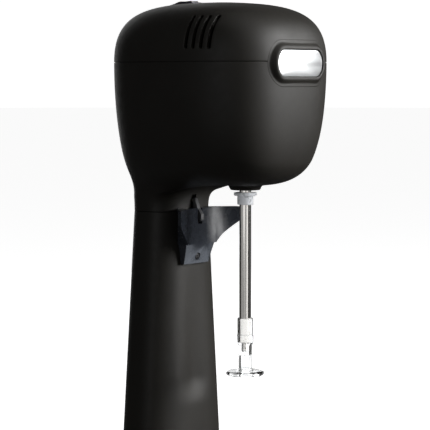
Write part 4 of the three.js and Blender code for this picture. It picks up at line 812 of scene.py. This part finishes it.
def lever_slot():
    return slab("slot", [(x + NECK_FRONT_X, y) for x, y in rounded_rectangle(18, 2 * LEVER_SLOT_HALF, 0.8)],
                PIVOT_Z - 4, TAB_Z + 3, radius=0)


def pointed(obj, place, direction):
    """Turns a piece made along +Z to a direction and puts it at a place in millimetres."""
    turn = Vector((0, 0, 1)).rotation_difference(Vector(direction).normalized()).to_matrix().to_4x4()
    obj.data.transform(Matrix.Translation(Vector(place) * MM) @ turn)
    return obj


def screw_hole(place, direction):
    pocket = turned("pocket", [(0, -0.3), (3.5, -0.3), (3.5, 9), (0, 9)], 40, (0, 0))
    thread = turned("thread", [(0, -11.5), (1.8, -11.5), (1.8, 1), (0, 1)], 24, (0, 0))
    return pointed(boolean(pocket, "UNION", thread), place, direction)


COVER_SCREWS = [(-HEAD_REACH + 2, y, COVER_Z - 8) for y in (-28, 28)]
NECK_SCREWS = [(-NECK_REAR + 2, y, NECK_Z + 7) for y in (-14, 14)]
boolean(head, "UNION", boss)
boolean(head, "DIFFERENCE", bore, mouth, badge_pocket(), lever_slot(),
        *[screw_hole(place, (-1, 0, 0)) for place in (*COVER_SCREWS, *NECK_SCREWS)])
dressed(head, BODY, "body_paint", "housing", "head_housing")

# ---------- Pedestal ----------

GLAND_Z = 24
gland_hole = pointed(turned("hole", [(0, -10), (5.8, -10), (5.8, 10), (0, 10)], 40, (0, 0)),
                     (-BASE_REAR, 0, GLAND_Z), (1, 0, 0))
BRACKET_WALL_X = SPINDLE_X - 56.5
BRACKET_TOP_Z = 290.6
BRACKET_LOW_Z = BRACKET_TOP_Z - 54
CREASE_Z = BRACKET_TOP_Z - 34.6
TIP_Z = BRACKET_TOP_Z - 13.6
BRACKET_SCREW = (BRACKET_WALL_X - 4.6, 0, BRACKET_LOW_Z + 7)
boolean(pedestal, "DIFFERENCE", gland_hole, lever_slot(), screw_hole(BRACKET_SCREW, (1, 0, 0)),
        *[screw_hole(place, (-1, 0, 0)) for place in NECK_SCREWS])
dressed(pedestal, BODY, "body_paint", "housing", "pedestal_housing")

# ---------- Power switch ----------

window = rounded_rectangle(WINDOW_LENGTH, WINDOW_WIDTH, 0.8)
flange = rounded_rectangle(SWITCH_LENGTH, SWITCH_WIDTH, 2)
top = SWITCH_FLANGE + GAP
frame_rings = [
    *outline_rings(flange, [(0, GAP), (0, top - 0.7), (0.1, top - 0.35), (0.35, top - 0.1), (0.7, top)]),
    *outline_rings(window, [(-0.5, top), (-0.2, top - 0.1), (0, top - 0.4), (0, -9.5), (-0.9, -9.5)]),
    *outline_rings(rounded_rectangle(SWITCH_LENGTH - 4, SWITCH_WIDTH - 3.6, 0.6), [(0, -9.5), (0, GAP)]),
]
switch_body = at_switch(rings_mesh("switch_body", frame_rings, closed=True))
dressed(switch_body, SWITCH, "switch_plastic", "housing", "switch_frame")

half = WINDOW_LENGTH / 2 - 0.8
rocker_side = rounded([
    (-half, 0), (-half * 0.6, -3.2), (-2.6, -5.6), (2.6, -5.6), (half * 0.6, -3.2), (half, 0), (half, 3.2),
    (half * 0.5, 3.75), (0, 5), (-half * 0.5, 3.75), (-half, 3.2),
], [0.6, 2, 1, 1, 2, 0.6, 0.6, 6, 1.2, 6, 0.6], closed=True)
rocker = at_switch(slab("rocker", rocker_side, -WINDOW_WIDTH / 2 + GAP, WINDOW_WIDTH / 2 - GAP, 0.5,
                        basis=XZ_SLAB))
dressed(rocker, SWITCH, "switch_plastic", "rocker", "switch_rocker", angle=40.0)

# ---------- Cup bracket ----------

BRACKET_HALF = 44.5
CREASE_HALF = 20.7
FOOT_WIDTH = 18.5
WALL_R = 75
SLOT_RISE = 10.7
GUSSET = 13.6


def bracket_wall(y):
    return BRACKET_WALL_X + WALL_R - math.sqrt(WALL_R ** 2 - y ** 2)


plan = [(bracket_wall(BRACKET_HALF * (k / 40 - 1)), BRACKET_HALF * (k / 40 - 1)) for k in range(81)]
gusset_x = bracket_wall(CREASE_HALF) - GUSSET
tip_x = bracket_wall(BRACKET_HALF) - 3.6
plan += [(tip_x, BRACKET_HALF), (gusset_x, CREASE_HALF), (gusset_x - 3, 14), (gusset_x - 3, -14),
         (gusset_x, -CREASE_HALF), (tip_x, -BRACKET_HALF)]
side_line = [
    (BRACKET_HALF, BRACKET_TOP_Z), (BRACKET_HALF, TIP_Z),
    (0.62 * BRACKET_HALF, lerp(TIP_Z, CREASE_Z, 0.62)), (CREASE_HALF, CREASE_Z),
    (FOOT_WIDTH + 0.6, CREASE_Z - 10), (FOOT_WIDTH, BRACKET_LOW_Z),
]
face_line = [*side_line, *[(-y, z) for y, z in reversed(side_line)]]
face_radii = [2.2, 2.0, 22, 7, 4, 2.2]
face_outline = rounded(face_line, [*face_radii, *reversed(face_radii)], steps=8, closed=True)
bracket = slab("bracket", plan, BRACKET_LOW_Z - 1, BRACKET_TOP_Z + 1, radius=0)
face = slab("face", face_outline, gusset_x - 10, BRACKET_WALL_X + WALL_R, radius=0, basis=YZ_SLAB)
boolean(bracket, "INTERSECT", face)
wedge = slab("wedge", [
    (BRACKET_WALL_X + 0.6, CREASE_Z), (BRACKET_WALL_X + 40, CREASE_Z),
    (BRACKET_WALL_X + 40, BRACKET_LOW_Z - 5),
    (BRACKET_WALL_X - 6.4, BRACKET_LOW_Z - 5),
], -BRACKET_HALF, BRACKET_HALF, radius=0, basis=XZ_SLAB)
nose_gap = box("gap", (BRACKET_WALL_X - 20, -LEVER_SLOT_HALF, PIVOT_Z + SLOT_RISE),
               (BRACKET_WALL_X + 9, LEVER_SLOT_HALF, BRACKET_TOP_Z + 5))
well = box("well", (BRACKET_WALL_X - 20, -LEVER_SLOT_HALF, PIVOT_Z - 4),
           (BRACKET_WALL_X - 2.2, LEVER_SLOT_HALF, PIVOT_Z + SLOT_RISE + 1))
boolean(bracket, "DIFFERENCE", wedge, nose_gap, well, screw_hole(BRACKET_SCREW, (1, 0, 0)))
editing = bmesh.new()
editing.from_mesh(bracket.data)
bmesh.ops.dissolve_limit(editing, angle_limit=math.radians(0.6), verts=editing.verts, edges=editing.edges)
editing.to_mesh(bracket.data)
editing.free()
bevelled(bracket, 0.55, segments=3, angle=28.0)
column_form = rings_mesh("column", [
    section_ring(PEDESTAL_FORM, 0, -GAP, COLUMN_TOP + 1, False),
    *[section_ring(PEDESTAL_FORM, t, -GAP) for t in spread_t(0, 1, 30)],
])
neck_form = rings_mesh("neck", [
    *[section_ring(HEAD_FORM, t, -GAP) for t in [*spread_t(0, 3, 30), *spread_t(3.05, 4, 20)]],
    section_ring(HEAD_FORM, 4, -GAP, NECK_LOW - 1, False),
])
boolean(bracket, "DIFFERENCE", column_form, neck_form)
dressed(bracket, SLATE, "dark_plastic", "housing", "cup_bracket", angle=24.0)

PIVOT_X = BRACKET_WALL_X - 6.2
TAB_X = NECK_FRONT_X - 0.4
lever_side = rounded([
    (PIVOT_X - 1.6, PIVOT_Z), (PIVOT_X + 1.6, PIVOT_Z), (PIVOT_X + 2.2, PIVOT_Z + 12),
    (BRACKET_WALL_X + 3.4, PIVOT_Z + 14), (BRACKET_WALL_X + 3.4, PIVOT_Z + 20),
    (BRACKET_WALL_X - 1, BRACKET_TOP_Z - 0.6), (TAB_X + 4.4, TAB_Z - 0.8), (TAB_X + 1.0, TAB_Z),
    (PIVOT_X - 0.6, BRACKET_TOP_Z - 3),
], [1, 1, 3, 2, 2, 4, 1.2, 1.2, 3], steps=6, closed=True)
lever = slab("lever", lever_side, -2.4, 2.4, radius=0.6, basis=XZ_SLAB)
hub = turned("hub", [(0, -2.4), (2.6, -2.4), (2.6, 2.4), (0, 2.4)], 36, (0, 0))
pin_hole = turned("hole", [(0, -4), (1.4, -4), (1.4, 4), (0, 4)], 24, (0, 0))
for piece in (hub, pin_hole):
    pointed(piece, (PIVOT_X, 0, PIVOT_Z), (0, 1, 0))
boolean(boolean(lever, "UNION", hub), "DIFFERENCE", pin_hole)
dressed(lever, TAB, "dark_plastic", "lever", "cup_lever", angle=40.0)

# ---------- Spindle, collar and agitator ----------

SPINDLE_R = 5.6
COLLAR_TOP_Z = BOSS_Z - 2.4
COLLAR_LOW_Z = COLLAR_TOP_Z - 11.5
SHOULDER_Z = BOSS_Z - 145.3
STUD_LOW_Z = SHOULDER_Z - 8.4
STUD_R = 2.15
COUPLING_Z = BUSH_TOP_Z + 2.3
SPINDLE_TOP_Z = BUSH_TOP_Z + 7.5
BORE_R = SPINDLE_R + GAP
SHAFT_AROUND = 72


def spindle_rings():
    """The spindle from its threaded stud up. The stud's radius runs in a helix."""
    turns = np.arange(SHAFT_AROUND) * (2 * math.pi / SHAFT_AROUND)
    rings = []

    def add(z, radius):
        r = radius if hasattr(radius, "__len__") else np.full(SHAFT_AROUND, radius)
        level = np.full(SHAFT_AROUND, z)
        rings.append(np.stack([SPINDLE_X + r * np.cos(turns), r * np.sin(turns), level], axis=1))

    add(STUD_LOW_Z, STUD_R - 0.5)
    pitch, depth, steps = 0.8, 0.28, 80
    for k in range(steps + 1):
        z = lerp(STUD_LOW_Z + 0.5, SHOULDER_Z - 0.7, k / steps)
        wave = np.abs(((z / pitch - turns / (2 * math.pi)) % 1) * 2 - 1)
        add(z, STUD_R - depth * wave)
    for z, radius in rounded([
        (STUD_R - 0.2, SHOULDER_Z - 0.4), (STUD_R - 0.2, SHOULDER_Z), (SPINDLE_R, SHOULDER_Z),
        (SPINDLE_R, COUPLING_Z - 1), (4.0, COUPLING_Z - 0.4), (4.0, SPINDLE_TOP_Z), (3.0, SPINDLE_TOP_Z),
    ], [0, 0, 0.5, 0, 0, 0.3, 0]):
        add(radius, z)
    return rings


spindle = rings_mesh("spindle", spindle_rings())
dressed(spindle, STEEL, "steel", "rotor", "spindle_shaft", angle=50.0)

collar = turned("collar", rounded([
    (BORE_R, COLLAR_LOW_Z), (7.6, COLLAR_LOW_Z), (7.6, COLLAR_TOP_Z - 3), (10.8, COLLAR_TOP_Z - 3),
    (10.8, COLLAR_TOP_Z), (BORE_R, COLLAR_TOP_Z),
], [0.2, 0.9, 0.7, 0.7, 0.9, 0.3], closed=True), around=96)
dressed(collar, WHITE, "white_plastic", "rotor", "shaft_collar", angle=50.0)

sleeve_r = BORE_R + 1.45
ring_r = sleeve_r + 0.5
ring_top = SHOULDER_Z + 7
web_top = STUD_LOW_Z - 0.6
stem_low = SHOULDER_Z - 25.5
disc_top = stem_low - 1.9
disc_low = disc_top - 4.2
STEM_R = 6.5
STEM_BORE_R = 4.6
FLANGE_R = 8.05
stem_profile = [
    (STEM_BORE_R, disc_low), (STEM_R + 1, disc_low), (STEM_R + 1, disc_top), (FLANGE_R, disc_top),
    (FLANGE_R, stem_low),
    (STEM_R, stem_low), (STEM_R, SHOULDER_Z - 3.4), (ring_r, SHOULDER_Z), (ring_r, ring_top),
    (sleeve_r, ring_top), (sleeve_r, ring_top + 16.1), (BORE_R, ring_top + 16.1), (BORE_R, SHOULDER_Z - GAP),
    (STUD_R + GAP, SHOULDER_Z - GAP), (STUD_R + GAP, web_top), (0.02, web_top), (0.02, web_top - 3),
    (STEM_BORE_R, web_top - 3),
]
stem_radii = [0.4, 0.3, 0.3, 0.5, 0.5, 0.6, 1.5, 1.0, 0.6, 0.5, 0.5, 0.4, 0.5, 0.3, 0.5, 0, 0, 0.8]
stem = turned("agitator_clear", rounded(stem_profile, stem_radii, closed=True), around=96)
PETALS = 8
petal_outline = []
for k in range(PETALS * 24):
    turn = k / (PETALS * 24) * 2 * math.pi
    radius = 18 - 1.1 * (0.5 - 0.5 * math.cos(PETALS * turn))
    petal_outline.append((SPINDLE_X + radius * math.cos(turn), radius * math.sin(turn)))
wheel = slab("wheel", petal_outline, disc_low + 0.3, disc_top - 0.5, radius=1.2)
hole = turned("hole", [(0, disc_low - 1), (STEM_BORE_R + 1, disc_low - 1), (STEM_BORE_R + 1, disc_top + 1),
                       (0, disc_top + 1)], 96)
boolean(wheel, "DIFFERENCE", hole)
boolean(stem, "UNION", wheel)
dressed(stem, CLEAR, "clear_plastic", "rotor", "agitator", angle=40.0)

# ---------- Feet, gland and screws ----------

for i in range(1, 5):
    low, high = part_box(f"foot_{i}")
    centre = ((low.x + high.x) / 2 / MM, (low.y + high.y) / 2 / MM)
    foot = turned(f"foot_pad_{i}", rounded([
        (0, 0), (10.6, 0), (12, BASE_UNDER_Z), (12, BASE_UNDER_Z + 0.1), (0, BASE_UNDER_Z + 0.1),
    ], [0, 1.0, 0, 0, 0]), 56, centre)
    dressed(foot, RUBBER, "rubber", "housing", f"foot_{i}")

gland = turned("gland", rounded([
    (3.4, -1.4), (8.7, -1.4), (8.7, -GAP), (5.5, -GAP), (5.5, 4), (7.9, 4), (7.9, 7.2), (3.4, 7.2),
], [0.7, 0.6, 0, 0, 0, 0.3, 0.3, 0.4], closed=True), 64, (0, 0))
pointed(gland, (-BASE_REAR, 0, GLAND_Z), (1, 0, 0))
dressed(gland, RUBBER, "rubber", "housing", "cable_gland")


def screw(name, node, place, direction, finish=SCREW_METAL):
    """A pan-head screw with a slot, its head resting at the place."""
    shank = turned(name, rounded([
        (0, -11), (0.9, -11), (1.5, -9.8), (1.5, 0), (3.2, 0), (3.2, 0.9), (2.3, 1.7), (0, 1.8),
    ], [0, 0, 0, 0, 0.2, 0.7, 0.9, 0]), 40, (0, 0))
    boolean(shank, "DIFFERENCE", box("slot", (-2.1, -0.4, 1.1), (2.1, 0.4, 3)))
    dressed(pointed(shank, place, direction), finish, "satin_metal", "housing", node)


for i, place in enumerate(COVER_SCREWS, 1):
    screw(f"cover_fixing_{i}", f"cover_screw_{i}", place, (-1, 0, 0))
for i, place in enumerate(NECK_SCREWS, 1):
    screw(f"neck_fixing_{i}", f"neck_screw_{i}", place, (-1, 0, 0))
screw("bracket_fixing", "bracket_screw_1", BRACKET_SCREW, (1, 0, 0), DARK_SCREW)
for i in range(1, 5):
    low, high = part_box(f"base_screw_{i}")
    place = ((low.x + high.x) / 2 / MM, (low.y + high.y) / 2 / MM, BASE_UNDER_Z + 2.6)
    screw(f"base_fixing_{i}", f"base_screw_{i}", place, (0, 0, -1))

# ---------- Studio ----------


def stage_plane(name, size, z):
    made = new_object(name, [(-size, -size, z), (size, -size, z), (size, size, z), (-size, size, z)],
                      [(0, 1, 2, 3)], scale=1.0)
    return made


def pale(name, color, glow):
    made = bpy.data.materials.new(name)
    made.use_nodes = True
    shader = made.node_tree.nodes["Principled BSDF"]
    shader.inputs["Base Color"].default_value = (*color, 1)
    shader.inputs["Roughness"].default_value = 0.9
    shader.inputs["Specular IOR Level"].default_value = 0.0
    shader.inputs["Emission Color"].default_value = (1, 1, 1, 1)
    shader.inputs["Emission Strength"].default_value = glow
    return made


floor = stage_plane("floor", 25.0, 0.0)
floor.data.materials.append(pale("floor_white", (0.5, 0.5, 0.5), 0.93))
backdrop_rings = []
for k in range(13):
    lift = k / 12 * math.pi / 2
    ring_turns = np.arange(48) * (2 * math.pi / 48)
    reach = 24.0 * math.cos(lift) + 0.01
    backdrop_rings.append(np.stack([reach * np.cos(ring_turns), reach * np.sin(ring_turns),
                                    np.full(48, 20.0 * math.sin(lift) - 0.5)], axis=1))
backdrop = rings_mesh("backdrop", backdrop_rings, scale=1.0)
backdrop.data.materials.append(pale("backdrop_white", (0.9, 0.9, 0.9), 1.0))
for surface in (floor, backdrop):
    surface.visible_diffuse = False
    surface.visible_glossy = False
backdrop.visible_shadow = False


def softbox(name, place, aim, width, height, power, color=(1, 1, 1)):
    data = bpy.data.lights.new(name, "AREA")
    data.shape = "RECTANGLE"
    data.size, data.size_y = width, height
    data.energy = power
    data.color = color
    made = bpy.data.objects.new(name, data)
    bpy.context.scene.collection.objects.link(made)
    made.location = place
    made.rotation_euler = (Vector(aim) - Vector(place)).to_track_quat("-Z", "Y").to_euler()
    made.visible_camera = False
    return made


def around(azimuth, distance, height):
    """A place at an angle from the front, +X, towards +Y."""
    turn = math.radians(azimuth)
    return distance * math.cos(turn), distance * math.sin(turn), height


AIM = (0.0, 0.0, 0.3)
key = softbox("key", around(33, 1.6, 0.9), AIM, 0.85, 1.1, 46)
softbox("top", (0.5, 0.1, 1.9), AIM, 1.2, 1.2, 2.4)
softbox("side", around(-75, 2.2, 0.6), AIM, 1.2, 1.4, 4.5)
softbox("rear", around(150, 1.8, 0.7), AIM, 1.2, 1.4, 7)

# The bracket has a narrow strip of its own instead of the key.
cup_pieces = bpy.data.collections.new("cup_pieces")
cup_pieces.objects.link(bracket)
key_pieces = bpy.data.collections.new("key_pieces")
key_pieces.objects.link(bracket)
key.light_linking.receiver_collection = key_pieces
for entry in key_pieces.collection_objects:
    entry.light_linking.link_state = "EXCLUDE"
strip = softbox("strip", around(21, 1.5, 0.25), AIM, 0.22, 0.9, 6.5)
strip.light_linking.receiver_collection = cup_pieces
foot_glow = softbox("foot_glow", (0.14, 0.18, 0.03), (-0.025, 0.0, 0.25), 0.26, 0.26, 0.45, (0.82, 0.89, 1.0))
foot_glow.light_linking.receiver_collection = cup_pieces

# Fill for the bright pieces alone: steel, plate, collar and agitator.
bright_pieces = bpy.data.collections.new("bright_pieces")
for piece in (spindle, collar, stem, plate):
    bright_pieces.objects.link(piece)
FILLS = (("fill_rear", -112, 1.7, 3.2), ("fill_camera", -58, 1.7, 4.0), ("fill_front", -12, 0.9, 6.4))
for name, azimuth, width, power in FILLS:
    fill = softbox(name, around(azimuth, 1.8, 0.4), AIM, width, 1.8, power)
    fill.light_linking.receiver_collection = bright_pieces

world = bpy.data.worlds.new("world")
bpy.context.scene.world = world
world.use_nodes = True
world.node_tree.nodes["Background"].inputs["Color"].default_value = (1, 1, 1, 1)
world.node_tree.nodes["Background"].inputs["Strength"].default_value = 0.05
bpy.context.scene.view_settings.view_transform = "Standard"
